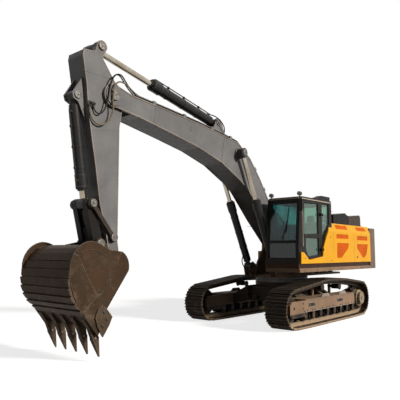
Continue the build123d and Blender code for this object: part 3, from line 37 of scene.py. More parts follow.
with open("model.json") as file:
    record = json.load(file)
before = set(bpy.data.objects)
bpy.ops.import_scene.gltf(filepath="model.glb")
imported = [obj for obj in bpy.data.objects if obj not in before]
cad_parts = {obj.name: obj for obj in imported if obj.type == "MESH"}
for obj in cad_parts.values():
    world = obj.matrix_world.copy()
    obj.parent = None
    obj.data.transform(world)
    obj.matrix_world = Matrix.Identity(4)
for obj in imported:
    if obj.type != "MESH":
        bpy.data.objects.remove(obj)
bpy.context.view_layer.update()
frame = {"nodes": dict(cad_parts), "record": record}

# the camera stands in front of the machine, to its left, at a standing person's eye height
IMAGE_WIDTH = 400
CAMERA_PLACE = (12.663, 7.555, 1.906)
CAMERA_HEADING = math.radians(220.347)
CAMERA_TILT = math.radians(5.813)
CAMERA_ROLL = math.radians(0.2055)
FOCAL_PIXELS = 482.0
CENTRE_PIXEL = (200.6, 203.0)
SENSOR_WIDTH = 36.0

# pivots (x, z) and half widths of the digging gear
BOOM_FOOT = (0.31, 2.155)
ARM_PIVOT = (6.75, 4.96)
BOOM_CYL_BASE = (1.11, 1.51)
BOOM_CYL_EYE = (2.61, 4.46)
ARM_CYL_BASE = (3.25, 5.17)
ARM_CYL_EYE = (7.03, 5.89)
BUCKET_CYL_BASE = (7.49, 4.82)
LINK_PIVOT = (6.68, 2.18)
LINK_EYE = (7.19, 2.80)
BUCKET_PIVOT = (6.60, 1.65)
BUCKET_EYE = (7.00, 2.05)
BOOM_SIDE = 0.29
ARM_SIDE = 0.235
# outer faces of the pins, from the machine's middle, and the radii of their caps
FOOT_PIN = (0.372, 0.105)
ARM_PIN = (0.345, 0.105)
CYL_BASE_PIN = (0.160, 0.072)
BOOM_EYE_PIN = (0.520, 0.085)
ARM_EYE_PIN = (0.257, 0.082)
LINK_PIVOT_PIN = (0.318, 0.078)
LINK_EYE_PIN = (0.322, 0.074)
BUCKET_PIN = (0.323, 0.085)
# cylinders: name, body, base, eye, y, tube radius, distance of the head, radius of the base's eye
CYLINDERS = (
    ("boom_cylinder", "boom_cylinder_tubes", BOOM_CYL_BASE, BOOM_CYL_EYE, 0.42, 0.103, 1.97, 0.105),
    ("arm_cylinder", "arm_cylinder_tube", ARM_CYL_BASE, ARM_CYL_EYE, 0.0, 0.118, 2.265, 0.115),
    ("bucket_cylinder", "bucket_cylinder_tube", BUCKET_CYL_BASE, LINK_EYE, 0.0, 0.100, 1.745, 0.100),
)
COLLAR_PROUD = 0.016
# pipes on the boom: y of each, and where the hoses join them
BOOM_PIPES = (0.15, 0.20, 0.25)
PIPE_END = (6.07, 5.127)
# cab, house and tracks
HOUSE_SIDE = 1.56
CAB_SIDE = 1.515
CAB_RIGHT = 0.54
CAB_TOP = 3.36
WINDOW_HEAD = 3.23
HOOD_TOP = 2.74
TRACK_MIDDLE = 1.31
FRAME_FACE = TRACK_MIDDLE + 0.225
ROLLER_HEIGHT = 0.27
ROLLER_COUNT = 8
ROLLER_STEP = 0.417
TRACK_CENTRE = -0.04
CARRIERS = ((0.26, 0.955), (-0.82, 0.93))
DRIVE = (-2.06, 0.525)
DRIVE_FACE = 1.582
PANEL_LOCK = (-1.885, 1.767)
DECK_TOP = 1.6205
EXHAUST_END = (-1.9, -0.4, 3.055)
DOOR_GLASS_FACE = 1.489
LAMP_FRONT = 1.54
LAMP_HEIGHT = 3.435
LAMP_SIDES = (0.60, 1.455)

# colours, as linear red, green, blue
YELLOW = (0.88, 0.42, 0.012)
ORANGE = (0.70, 0.125, 0.006)
CHARCOAL = (0.180, 0.178, 0.180)
# painted shade: the colour that the boom's downward faces are darkened towards
BOOM_UNDERSIDE_SHADE = (0.045, 0.033, 0.022)
BLACK_PAINT = (0.012, 0.010, 0.009)
CAB_BROWN = (0.013, 0.011, 0.010)
DECK_MAROON = (0.036, 0.013, 0.005)
FRAME_TAN = (0.27, 0.175, 0.112)
FRAME_BROWN = (0.050, 0.038, 0.030)
HOOD_GREY = (0.30, 0.24, 0.18)
COVER_BROWN = (0.055, 0.042, 0.034)
WEIGHT_GREY = (0.17, 0.12, 0.09)
TRACK_STEEL = (0.026, 0.020, 0.016)
SHOE_END_DUST_AND_HIGHLIGHT = (0.44, 0.31, 0.20)
BUCKET_BROWN = (0.056, 0.035, 0.020)
TOOTH_BROWN = (0.085, 0.058, 0.038)
CYLINDER_DARK = (0.026, 0.025, 0.025)
CHROME = (0.32, 0.27, 0.20)
PIN_STEEL = (0.085, 0.072, 0.064)
DUST = (0.36, 0.27, 0.18)
RUST = (0.10, 0.040, 0.018)
BARE_STEEL = (0.40, 0.32, 0.25)
SIDE_GLASS = (0.34, 0.60, 0.48)
# painted shade: darker tints for the forward-facing windscreen and the pane below it
SHADED_FRONT_GLASS = (0.05, 0.30, 0.33)
SHADED_LOW_GLASS = (0.10, 0.19, 0.14)
RUBBER = (0.014, 0.013, 0.012)
HOSE_SLEEVE = (0.30, 0.235, 0.165)
ZINC = (0.20, 0.185, 0.165)


# Finishes


class Finish:
    """A material's node tree, with short names for the nodes that the finishes share."""

    def __init__(self, name):
        """Starts from the main shader and the place on the object."""
        self.material = bpy.data.materials.new(name)
        self.material.use_nodes = True
        self.tree = self.material.node_tree
        self.shader = self.tree.nodes["Principled BSDF"]
        self.place = self.add("ShaderNodeTexCoord").outputs["Object"]

    def add(self, kind, inputs=(), **settings):
        """A node with its settings and its inputs, each a value or another node's output."""
        node = self.tree.nodes.new(kind)
        for key, value in settings.items():
            setattr(node, key, value)
        for key, value in dict(inputs).items():
            self.put(node, key, value)
        return node

    def put(self, node, key, value):
        """Sets an input to a value, or links another node's output to it."""
        if isinstance(value, bpy.types.NodeSocket):
            self.tree.links.new(value, node.inputs[key])
        else:
            node.inputs[key].default_value = value

    def shade(self, **values):
        """Sets the main shader's inputs, named with underscores for spaces."""
        for key, value in values.items():
            self.put(self.shader, key.replace("_", " "), value)

    def noise(self, scale, detail=4.0, rough=0.55, stretch=(1, 1, 1)):
        """A noise of a size, stretched along the axes."""
        spread = self.add("ShaderNodeMapping", {"Vector": self.place, "Scale": stretch})
        node = self.add(
            "ShaderNodeTexNoise",
            {"Vector": spread.outputs[0], "Scale": scale, "Detail": detail, "Roughness": rough},
        )
        return node.outputs["Fac"]

    def ramp(self, value, low, high, out_low=0.0, out_high=1.0):
        """The value's stretch from low to high, carried to another stretch and held at its ends."""
        node = self.add(
            "ShaderNodeMapRange",
            {"Value": value, "From Min": low, "From Max": high, "To Min": out_low, "To Max": out_high},
        )
        return node.outputs[0]

    def mix(self, share, first, second):
        """A colour between two colours."""
        node = self.add("ShaderNodeMix", data_type="RGBA")
        for key, value in ((0, share), (6, first), (7, second)):
            if isinstance(value, bpy.types.NodeSocket):
                self.tree.links.new(value, node.inputs[key])
            elif key == 0:
                node.inputs[0].default_value = value
            else:
                node.inputs[key].default_value = (*value, 1.0)
        return node.outputs[2]

    def sum(self, operation, first, second):
        """Two numbers put together by an operation."""
        node = self.add("ShaderNodeMath", operation=operation)
        self.put(node, 0, first)
        self.put(node, 1, second)
        return node.outputs[0]

    def times(self, first, second):
        """The product of two numbers."""
        return self.sum("MULTIPLY", first, second)

    def edges(self, radius=0.012):
        """A mask that is 1 on sharp outer edges: where the rounded normal leaves the true one."""
        rounded = self.add("ShaderNodeBevel", {"Radius": radius}, samples=4)
        true = self.add("ShaderNodeNewGeometry").outputs["Normal"]
        dot = self.add("ShaderNodeVectorMath", operation="DOT_PRODUCT")
        self.put(dot, 0, rounded.outputs[0])
        self.put(dot, 1, true)
        return self.ramp(dot.outputs["Value"], 0.995, 0.90)

    def facing(self, axis):
        """How far a surface faces along an axis, from -1 to 1."""
        normal = self.add("ShaderNodeNewGeometry").outputs["Normal"]
        return self.add("ShaderNodeSeparateXYZ", {0: normal}).outputs[axis]

    def where(self, axis):
        """The place along an axis, in metres."""
        return self.add("ShaderNodeSeparateXYZ", {0: self.place}).outputs[axis]

    def near(self, x, z):
        """The distance from a pin's axis across the machine at (x, z)."""
        flat = self.add("ShaderNodeVectorMath", {0: self.place, 1: (1, 0, 1)}, operation="MULTIPLY")
        gap = self.add("ShaderNodeVectorMath", {0: flat.outputs[0], 1: (x, 0, z)}, operation="DISTANCE")
        return gap.outputs["Value"]

    def bump(self, value, depth, strength=1.0, normal=None):
        """A bump of a depth in metres."""
        node = self.add("ShaderNodeBump", {"Height": value, "Distance": depth, "Strength": strength})
        if normal is not None:
            self.put(node, "Normal", normal)
        return node.outputs[0]

    def rounded(self, radius):
        """The normal with its edges rounded."""
        return self.add("ShaderNodeBevel", {"Radius": radius}, samples=4).outputs[0]


def scaled(colour, factor):
    """A colour made lighter or darker."""
    return tuple(min(1.0, c * factor) for c in colour)


def paint(name, colour, rough=0.4, gloss=0.10, wear=0.5, dust_and_top_light=0.35, mottle=0.16, low=None, oily=None):
    """Sprayed paint: soft patches, streaks, dust on what faces up, worn edges, orange peel; where the dust is
    heavy, the pale tops are also painted sunlight.

    Undersides may be darkened towards a colour (low), which is painted shade, and below a height (oily) there
    is a film of oil."""
    edge = 0.010
    f = Finish(name)
    patch = f.ramp(f.noise(1.7, 5), 0.35, 0.65)
    patches = f.mix(patch, scaled(colour, 1 - mottle), scaled(colour, 1 + mottle))
    streaks = f.ramp(f.noise(6.0, 6, 0.65, (1, 1, 0.25)), 0.52, 0.72, 0.0, 0.35)
    toned = f.mix(streaks, patches, scaled(colour, 0.72))
    if low is not None:
        # painted shade: faces that turn down are darkened towards the low colour
        toned = f.mix(f.times(f.ramp(f.facing(2), -0.2, -0.7), 0.8), toned, low)
    if oily is not None:
        below = f.ramp(f.where(2), oily + 0.012, oily - 0.012)
        film = f.times(below, f.ramp(f.noise(4.5, 5), 0.30, 0.55, 0.6, 1.0))
        toned = f.mix(film, toned, (0.014, 0.011, 0.009))
    # pale colour on what faces up: dust, and on the intake boxes and covers also painted sunlight on their
    # tops
    top_dust_and_light = f.times(f.ramp(f.facing(2), 0.2, 0.95), f.ramp(f.noise(9.0, 6, 0.7), 0.36, 0.62))
    dusted_and_top_lit = f.mix(f.times(top_dust_and_light, dust_and_top_light), toned, DUST)
    chips = f.times(f.edges(edge), f.ramp(f.noise(38.0, 5, 0.7), 0.40, 0.58))
    scratches = f.ramp(f.noise(7.0, 3, 0.5, (1, 1, 22)), 0.70, 0.74, 0.0, 0.5 * wear)
    scuffs = f.times(scratches, f.ramp(f.noise(0.9, 3), 0.5, 0.6))
    worn_share = f.sum("MAXIMUM", f.times(chips, wear), scuffs)
    f.shade(Base_Color=f.mix(worn_share, dusted_and_top_lit, BARE_STEEL))
    spots = f.ramp(f.noise(14.0, 5, 0.6), 0.3, 0.7, rough - 0.07, rough + 0.12)
    f.shade(Roughness=f.sum("ADD", spots, f.times(top_dust_and_light, 0.25)), Specular_IOR_Level=gloss)
    peel = f.bump(f.noise(3.2, 2), 0.004, 0.35, f.rounded(edge * 0.7))
    f.shade(Normal=f.bump(f.noise(260.0, 2), 0.0006, 0.35, peel))
    return f.material


def cast_steel(name, colour, rough=0.55, rust=0.35, polish=0.0, side_dust_and_highlight=0.0, mud_top=1.3):
    """Bare cast steel: grainy, rust in patches, mud low down, edges rubbed bright, dust and a painted
    highlight on shoe ends.
    """
    f = Finish(name)
    grain = f.noise(55.0, 8, 0.7)
    base = f.mix(f.ramp(grain, 0.3, 0.7), scaled(colour, 0.75), scaled(colour, 1.3))
    broad = f.mix(f.ramp(f.noise(1.3, 4), 0.35, 0.65), base, scaled(colour, 0.7))
    stained = f.mix(f.ramp(f.noise(5.0, 7, 0.65), 0.48, 0.66, 0.0, rust), broad, RUST)
    mud = f.times(f.ramp(f.noise(3.4, 6, 0.7), 0.5, 0.66), f.ramp(f.where(2), mud_top, 0.1, 0.0, 0.35))
    muddy = f.mix(mud, stained, DUST)
    # low shoe ends turned to +Y are made pale: dust and a painted highlight
    if side_dust_and_highlight:
        ends = f.ramp(f.facing(1), 0.75, 0.95)
        low = f.ramp(f.where(2), 0.20, 0.13, 0.07, 1.0)
        share = f.times(f.times(ends, low), f.ramp(f.noise(12.0, 5, 0.7), 0.25, 0.5, 0.45, 1.0))
        muddy = f.mix(f.times(share, side_dust_and_highlight), muddy, SHOE_END_DUST_AND_HIGHLIGHT)
    bright = f.times(f.edges(0.016), f.ramp(f.noise(30.0, 5, 0.7), 0.30, 0.55))
    f.shade(Base_Color=f.mix(f.times(bright, 0.55 + polish * 0.35), muddy, BARE_STEEL))
    f.shade(Roughness=f.ramp(grain, 0.2, 0.8, rough - 0.1, rough + 0.2))
    f.shade(Metallic=0.05, Specular_IOR_Level=0.08)
    f.shade(Normal=f.bump(grain, 0.002, 0.5, f.rounded(0.007)))
    return f.material


def chrome_rod(name, eye, eye_radius):
    """A polished rod with an oil film; the eye at its end is painted black."""
    f = Finish(name)
    film = f.mix(f.ramp(f.noise(2.4, 4, 0.6), 0.35, 0.65), CHROME, (0.44, 0.40, 0.33))
    eye_share = f.ramp(f.near(*eye), eye_radius + 0.012, eye_radius + 0.008)
    f.shade(Base_Color=f.mix(eye_share, film, CYLINDER_DARK), Metallic=f.ramp(eye_share, 0, 1, 0.95, 0.0))
    smooth = f.ramp(f.noise(22.0, 5, 0.6), 0.3, 0.7, 0.16, 0.3)
    f.shade(Roughness=f.sum("ADD", smooth, f.times(eye_share, 0.3)), Normal=f.rounded(0.008))
    f.shade(Specular_IOR_Level=0.3)
    return f.material


def machined(name, colour, metal=0.5):
    """Greased machined steel, dark in the grease."""
    f = Finish(name)
    fine = f.noise(80.0, 4, 0.6)
    grease = f.ramp(f.noise(11.0, 6, 0.7), 0.42, 0.62, 0.0, 0.7)
    f.shade(Base_Color=f.mix(grease, colour, scaled(colour, 0.35)))
    f.shade(Metallic=metal, Roughness=f.ramp(fine, 0.3, 0.7, 0.34, 0.55))
    f.shade(Normal=f.bump(fine, 0.0008, 0.5, f.rounded(0.005)))
    return f.material


def glass(name, side, shaded_front=None, low=None):
    """Tinted safety glass with faint smears; the windscreen and the pane below it get darker tints, which are
    painted shade.
    """
    f = Finish(name)
    smear = f.noise(4.0, 6, 0.7, (1, 1, 0.4))
    tint = f.mix(f.ramp(smear, 0.3, 0.75), side, scaled(side, 0.8))
    # the windscreen's darker tint and the lower pane's are painted shade
    if shaded_front is not None:
        streak = f.ramp(f.noise(2.6, 6, 0.65, (1, 1, 0.35)), 0.4, 0.62)
        streaks = f.mix(streak, scaled(shaded_front, 0.45), scaled(shaded_front, 1.5))
        screen = f.mix(f.ramp(f.where(2), 2.19, 2.17), streaks, low)
        tint = f.mix(f.ramp(f.where(0), 1.50, 1.52), tint, screen)
    f.shade(Base_Color=tint, IOR=1.45, Transmission_Weight=0.9)
    f.shade(Roughness=f.ramp(smear, 0.4, 0.8, 0.01, 0.05))
    return f.material


def plastic(name, colour, rough=0.5, grain_size=160.0):
    """Moulded plastic or rubber with a fine leather grain."""
    f = Finish(name)
    grain = f.add("ShaderNodeTexVoronoi", {"Vector": f.place, "Scale": grain_size}).outputs["Distance"]
    f.shade(Base_Color=f.mix(f.ramp(f.noise(7.0, 4), 0.35, 0.65), scaled(colour, 0.8), scaled(colour, 1.2)))
    f.shade(Roughness=f.ramp(f.noise(16.0), 0.3, 0.7, rough - 0.08, rough + 0.1))
    f.shade(Specular_IOR_Level=0.12)
    f.shade(Normal=f.bump(grain, 0.0012, 0.6, f.rounded(0.005)))
    return f.material


def braided(name, colour):
    """A hose sleeve: two sets of threads that cross, lighter where they stand up."""
    f = Finish(name)
    threads = []
    for direction in "XZ":
        wave = f.add(
            "ShaderNodeTexWave",
            {"Vector": f.place, "Scale": 60.0, "Distortion": 1.5, "Detail": 1.0},
            bands_direction=direction,
        )
        threads.append(wave.outputs["Fac"])
    weave = f.times(threads[0], threads[1])
    f.shade(Base_Color=f.mix(weave, scaled(colour, 0.5), scaled(colour, 1.3)))
    f.shade(Roughness=0.7, Specular_IOR_Level=0.3, Normal=f.bump(weave, 0.002, 0.8))
    return f.material


def woven(name, colour):
    """Cloth of the seat: a plain weave from two crossed waves."""
    f = Finish(name)
    threads = []
    for axis in "XZ":
        wave = f.add(
            "ShaderNodeTexWave",
            {"Vector": f.place, "Scale": 140.0, "Distortion": 0.8, "Detail": 1.0},
            bands_direction=axis,
        )
        threads.append(wave.outputs["Fac"])
    weave = f.times(threads[0], threads[1])
    f.shade(Base_Color=f.mix(weave, scaled(colour, 0.55), scaled(colour, 1.4)))
    f.shade(Roughness=0.85, Sheen_Weight=0.3, Normal=f.bump(weave, 0.0015, 0.8))
    return f.material


finishes = {
    "body_yellow": paint("yellow_paint", YELLOW, rough=0.4, gloss=0.12, wear=0.2, dust_and_top_light=0.2, mottle=0.05),
    "weight_grey": paint("weight_paint", WEIGHT_GREY, rough=0.5, wear=0.3, dust_and_top_light=0.35),
    "vent_orange": paint("orange_paint", ORANGE, rough=0.5, gloss=0.05, wear=0.2, dust_and_top_light=0.1, mottle=0.12),
    "boom_charcoal": paint(
        "charcoal_paint", CHARCOAL, rough=0.36, gloss=0.16, dust_and_top_light=0.1, mottle=0.14, low=BOOM_UNDERSIDE_SHADE
    ),
    "cab_black": paint("cab_paint", CAB_BROWN, rough=0.4, wear=0.15, dust_and_top_light=0.3),
    "deck_dark": paint("deck_paint", DECK_MAROON, rough=0.5, wear=0.2, dust_and_top_light=0.5),
    "frame_tan": paint("tan_paint", FRAME_TAN, rough=0.5, wear=0.4, dust_and_top_light=0.4, oily=0.385),
    "frame_brown": paint("centre_frame_paint", FRAME_BROWN, rough=0.5, wear=0.3, dust_and_top_light=0.4),
    "hood_grey": paint("hood_paint", HOOD_GREY, rough=0.5, wear=0.2, dust_and_top_light=0.4),
    # the intake boxes and covers: their pale upward faces are dust and painted sunlight
    "box_black": paint("intake_paint", BLACK_PAINT, rough=0.5, wear=0.2, dust_and_top_light=0.9),
    "cover_brown": paint("cover_paint", COVER_BROWN, rough=0.5, wear=0.2, dust_and_top_light=0.9),
    "cylinder_dark": paint("cylinder_paint", CYLINDER_DARK, rough=0.36, gloss=0.15, wear=0.25, dust_and_top_light=0.15),
    "link_brown": paint("link_paint", FRAME_BROWN, rough=0.45, wear=0.6, dust_and_top_light=0.2),
    "link_black": paint("black_link_paint", BLACK_PAINT, rough=0.45, wear=0.5, dust_and_top_light=0.2),
    "bucket_steel": cast_steel("bucket_steel", BUCKET_BROWN, rough=0.5, rust=0.35, mud_top=2.2),
    "tooth_steel": cast_steel("tooth_steel", TOOTH_BROWN, rough=0.5, rust=0.3, polish=0.6),
    "track_steel": cast_steel("track_steel", TRACK_STEEL, rough=0.5, rust=0.2, polish=0.3, side_dust_and_highlight=0.95),
    "roller_black": cast_steel("roller_steel", BLACK_PAINT, rough=0.5, rust=0.25),
    "engine_iron": cast_steel("engine_iron", (0.05, 0.05, 0.05)),
    "bearing_steel": machined("race_steel", (0.06, 0.055, 0.05)),
    "pin_steel": machined("pin_steel", PIN_STEEL),
    "rod_chrome": chrome_rod("boom_rod_chrome", BOOM_CYL_EYE, 0.125),
    "cab_glass": glass("side_glass", SIDE_GLASS, SHADED_FRONT_GLASS, SHADED_LOW_GLASS),
    "lamp_black": plastic("lamp_plastic", (0.03, 0.028, 0.026)),
    "console_plastic": plastic("console_plastic", (0.05, 0.05, 0.05)),
    "seat_fabric": woven("seat_cloth", (0.035, 0.036, 0.040)),
    "rail_steel": paint("rail_paint", (0.50, 0.44, 0.36), rough=0.4, wear=0.4, dust_and_top_light=0.2),
}
# finishes of single nodes, and those that only dressed pieces have
node_finishes = {
    "arm_cylinder_rod": chrome_rod("arm_rod_chrome", ARM_CYL_EYE, 0.100),
    "bucket_cylinder_rod": chrome_rod("bucket_rod_chrome", LINK_EYE, 0.105),
    "final_drives": paint("drive_paint", (0.40, 0.32, 0.22), rough=0.5, wear=0.3, dust_and_top_light=0.3),
}
# near-black rubber; it also colours the dark pieces of painted shade in slots, a hole and a groove
rubber = plastic("gasket_rubber", RUBBER, rough=0.6)
sleeve = braided("hose_sleeve", HOSE_SLEEVE)
hose_rubber = plastic("hose_rubber", (0.020, 0.018, 0.017), rough=0.45, grain_size=90.0)
zinc = machined("zinc_fittings", ZINC, metal=0.3)
dark_steel = machined("dark_fittings", (0.045, 0.040, 0.036), metal=0.4)
mirror_face = machined("mirror_face", (0.62, 0.60, 0.55), metal=0.95)
lens = glass("lamp_lens", (0.80, 0.84, 0.84))
# pale warm paint for plate edges and frame ribs: a painted highlight, with wear
edge_highlight_paint = paint("edge_highlight_paint", (0.30, 0.255, 0.22), rough=0.4, gloss=0.15, wear=0.8, dust_and_top_light=0.2, mottle=0.2)


def finish_nodes():
    """Gives every CAD node the finish of its slot, or its own."""
    slot_of = {row["node"]: row["material_slot"] for row in frame["record"]["subparts"]}
    for name, node in frame["nodes"].items():
        node.data.materials.clear()
        node.data.materials.append(node_finishes.get(name, finishes[slot_of[name]]))


finish_nodes()


# Surfaces as arrays

ACROSS = (0, 1, 0)
UP = (0, 0, 1)
AHEAD = (1, 0, 0)


class Shape:
    """Faces on points, as arrays: the points, all faces' corners in one row, each face's corner count."""

    def __init__(self, points, corners, counts):
        """Makes rows of the three."""
        self.points = np.asarray(points, float).reshape(-1, 3)
        self.corners = np.asarray(corners, int).ravel()
        self.counts = np.asarray(counts, int).ravel()

    def placed(self, place, turn=np.eye(3)):
        """Each point times the turn, plus the place."""
        points = self.points @ np.asarray(turn, float).T + np.asarray(place, float)
        return Shape(points, self.corners, self.counts)


def together(*shapes):
    """Several shapes as one."""
    starts = np.cumsum([0] + [len(shape.points) for shape in shapes[:-1]])
    return Shape(
        np.concatenate([shape.points for shape in shapes]),
        np.concatenate([shape.corners + start for shape, start in zip(shapes, starts)]),
        np.concatenate([shape.counts for shape in shapes]),
    )


def repeated(shape, places, turns):
    """A copy at each place: point = turn times point, plus place."""
    places = np.asarray(places, float).reshape(-1, 3)
    turns = np.broadcast_to(turns, (len(places), 3, 3))
    points = np.einsum("kij,nj->kni", turns, shape.points) + places[:, None]
    starts = np.arange(len(places))[:, None] * len(shape.points)
    return Shape(points, shape.corners[None] + starts, np.tile(shape.counts, len(places)))


def mirrored(shape):
    """The shape on the machine's other side: y changes its sign."""
    return Shape(shape.points * (1, -1, 1), shape.corners, shape.counts)


def both(shape):
    """A shape and its mirror image."""
    return together(shape, mirrored(shape))


def skin(grid, ends=True, ring=False):
    """The skin over a grid whose columns close on themselves; rows close too if it is a ring."""
    rows, columns = grid.shape[:2]
    index = np.arange(rows * columns).reshape(rows, columns)
    here = index if ring else index[:-1]
    there = np.roll(index, -1, 0) if ring else index[1:]
    quads = np.stack([here, np.roll(here, -1, 1), np.roll(there, -1, 1), there], -1).reshape(-1)
    corners, counts = [quads], [np.full(len(quads) // 4, 4)]
    if ends and not ring:
        corners += [index[0, ::-1], index[-1]]
        counts += [[columns], [columns]]
    return Shape(grid.reshape(-1, 3), np.concatenate(corners), np.concatenate(counts))


def unit(vector):
    """The vector at length 1, or each row of several."""
    vector = np.asarray(vector, float)
    return vector / np.linalg.norm(vector, axis=-1, keepdims=True)


def basis(axis):
    """A turn that carries +Z to the axis."""
    axis = unit(axis)
    side = unit(np.cross((0, 1, 0) if abs(axis[1]) < 0.9 else (1, 0, 0), axis))
    return np.stack([side, np.cross(axis, side), axis], 1)


def turned(profile, place, axis, sides=24, hollow=False):
    """A profile of (along, radius) turned: place + along * axis + radius * (cos a, sin a) across it."""
    profile = np.asarray(profile, float)
    angle = np.arange(sides) * 2 * np.pi / sides
    circle = np.stack([np.cos(angle), np.sin(angle), np.zeros(sides)], 1)
    grid = profile[:, None, 1:] * circle[None] + profile[:, None, :1] * (0, 0, 1)
    return skin(grid, ring=hollow).placed(place, basis(axis))


def swept(path, section, across=ACROSS, ring=False):
    """A section of (side, out) on a path: path + side * across + out * (tangent x across), mitred."""
    path, section = np.asarray(path, float), np.asarray(section, float)
    if ring:
        ahead = unit(np.roll(path, -1, 0) - path)
        tangent = unit(ahead + np.roll(ahead, 1, 0))
    else:
        ahead = unit(np.diff(path, axis=0, append=path[-1:] * 2 - path[-2:-1]))
        tangent = unit(ahead + np.vstack([ahead[:1], ahead[:-1]]))
    across = np.broadcast_to(np.asarray(across, float), path.shape)
    across = unit(across - np.sum(across * tangent, 1, keepdims=True) * tangent)
    mitre = 1 / np.maximum(0.7, np.sum(tangent * ahead, 1))
    out = np.cross(tangent, across) * mitre[:, None]
    grid = path[:, None] + section[None, :, :1] * across[:, None] + section[None, :, 1:] * out[:, None]
    return skin(grid, ring=ring)


def carried(path):
    """Across-vectors carried along a path, each the one before less its part along the path."""
    tangent = unit(np.gradient(path, axis=0))
    vector = np.cross(tangent[0], (0.3, 0.5, 0.8))
    rows = []
    for direction in tangent:
        vector = unit(vector - (vector @ direction) * direction)
        rows.append(vector)
    return np.array(rows)


def round_section(radius, sides=10):
    """A circle as a section."""
    angle = np.arange(sides) * 2 * np.pi / sides
    return np.stack([np.cos(angle), np.sin(angle)], 1) * radius


def flat_section(side_low, side_high, out_low, out_high):
    """A rectangle as a section."""
    return ((side_low, out_low), (side_high, out_low), (side_high, out_high), (side_low, out_high))


def smooth(points, steps=8):
    """A line through points: between two a cubic whose slopes are half the neighbours' distance."""
    points = np.asarray(points, float)
    slope = np.gradient(points, axis=0)
    t = np.linspace(0, 1, steps, endpoint=False)[None, :, None]
    start, end, leave, arrive = points[:-1, None], points[1:, None], slope[:-1, None], slope[1:, None]
    line = (2 * t**3 - 3 * t**2 + 1) * start + (t**3 - 2 * t**2 + t) * leave
    line = line + (3 * t**2 - 2 * t**3) * end + (t**3 - t**2) * arrive
    return np.vstack([line.reshape(-1, 3), points[-1:]])


def tube(points, radius, sides=10, steps=8):
    """A round bar or pipe along a smooth line through points."""
    path = smooth(points, steps)
    return swept(path, round_section(radius, sides), carried(path))


def block(low, high):
    """A box between two corners, as a square section on a straight path."""
    (x0, y0, z0), (x1, y1, z1) = low, high
    return swept(((x0, y0, z0), (x1, y0, z0)), flat_section(0, y1 - y0, 0, z1 - z0))


def at_side(points, y):
    """Points (x, z) as points in space at y."""
    points = np.asarray(points, float)
    return np.stack([points[:, 0], np.full(len(points), y), points[:, 1]], 1)


def slab(outline, y0, y1):
    """A plate with corners (x, z), between two faces."""
    return skin(np.stack([at_side(outline, y0), at_side(outline, y1)]))


def arc(first, through, last, steps=12):
    """Points (x, z) on the circle through three points: centre + radius * (cos, sin)."""
    (ax, ay), (bx, by), (cx, cy) = first, through, last
    matrix = np.array([[bx - ax, by - ay], [cx - ax, cy - ay]]) * 2
    right = [bx**2 - ax**2 + by**2 - ay**2, cx**2 - ax**2 + cy**2 - ay**2]
    centre = np.linalg.solve(matrix, right)
    angles = np.unwrap([math.atan2(y - centre[1], x - centre[0]) for x, y in (first, through, last)])
    angle = np.linspace(angles[0], angles[2], steps)
    radius = math.dist(centre, first)
    return np.stack([centre[0] + radius * np.cos(angle), centre[1] + radius * np.sin(angle)], 1)


def piece(name, shape, finish, body, bevel=0.0, sharp=35):
    """A dressed piece from a shape, its doubles merged and its faces pointing outwards."""
    mesh = bpy.data.meshes.new(name)
    mesh.vertices.add(len(shape.points))
    mesh.vertices.foreach_set("co", shape.points.ravel())
    mesh.loops.add(len(shape.corners))
    mesh.loops.foreach_set("vertex_index", shape.corners)
    mesh.polygons.add(len(shape.counts))
    mesh.polygons.foreach_set("loop_start", np.concatenate([[0], np.cumsum(shape.counts)[:-1]]))
    mesh.update(calc_edges=True)
    work = bmesh.new()
    work.from_mesh(mesh)
    bmesh.ops.remove_doubles(work, verts=work.verts, dist=1e-5)
    bmesh.ops.recalc_face_normals(work, faces=work.faces)
    work.to_mesh(mesh)
    work.free()
    mesh.shade_smooth()
    mesh.set_sharp_from_angle(angle=math.radians(sharp))
    mesh.materials.append(finish)
    made = bpy.data.objects.new(name, mesh)
    bpy.context.scene.collection.objects.link(made)
    if bevel:
        modifier = made.modifiers.new("soft_edges", "BEVEL")
        modifier.width = bevel
        modifier.segments = 2
        modifier.limit_method = "ANGLE"
    if body is not None:
        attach(made, body)
    return made


def hex_bolt(radius, height):
    """A six-sided head on a round washer, along +Z."""
    profile = ((0.2 * height, radius), (0.85 * height, radius), (height, radius * 0.8))
    washer = ((0, radius * 1.35), (0.2 * height, radius * 1.35))
    return together(turned(profile, (0, 0, 0), (0, 0, 1), 6), turned(washer, (0, 0, 0), (0, 0, 1), 12))


def bolts(places, axis, radius=0.014, height=0.012):
    """Hexagon bolts at places, all facing one way."""
    return repeated(hex_bolt(radius, height), places, basis(axis))


def bolt_circle(centre, axis, ring_radius, count, radius=0.014, height=0.012, start=0.0):
    """Bolts on a circle: centre + ring_radius * (cos a, sin a) across the axis."""
    angle = start + np.arange(count) * 2 * np.pi / count
    flat = np.stack([np.cos(angle), np.sin(angle), np.zeros(count)], 1) * ring_radius
    return bolts(np.asarray(centre) + flat @ basis(axis).T, axis, radius, height)


# Digging gear

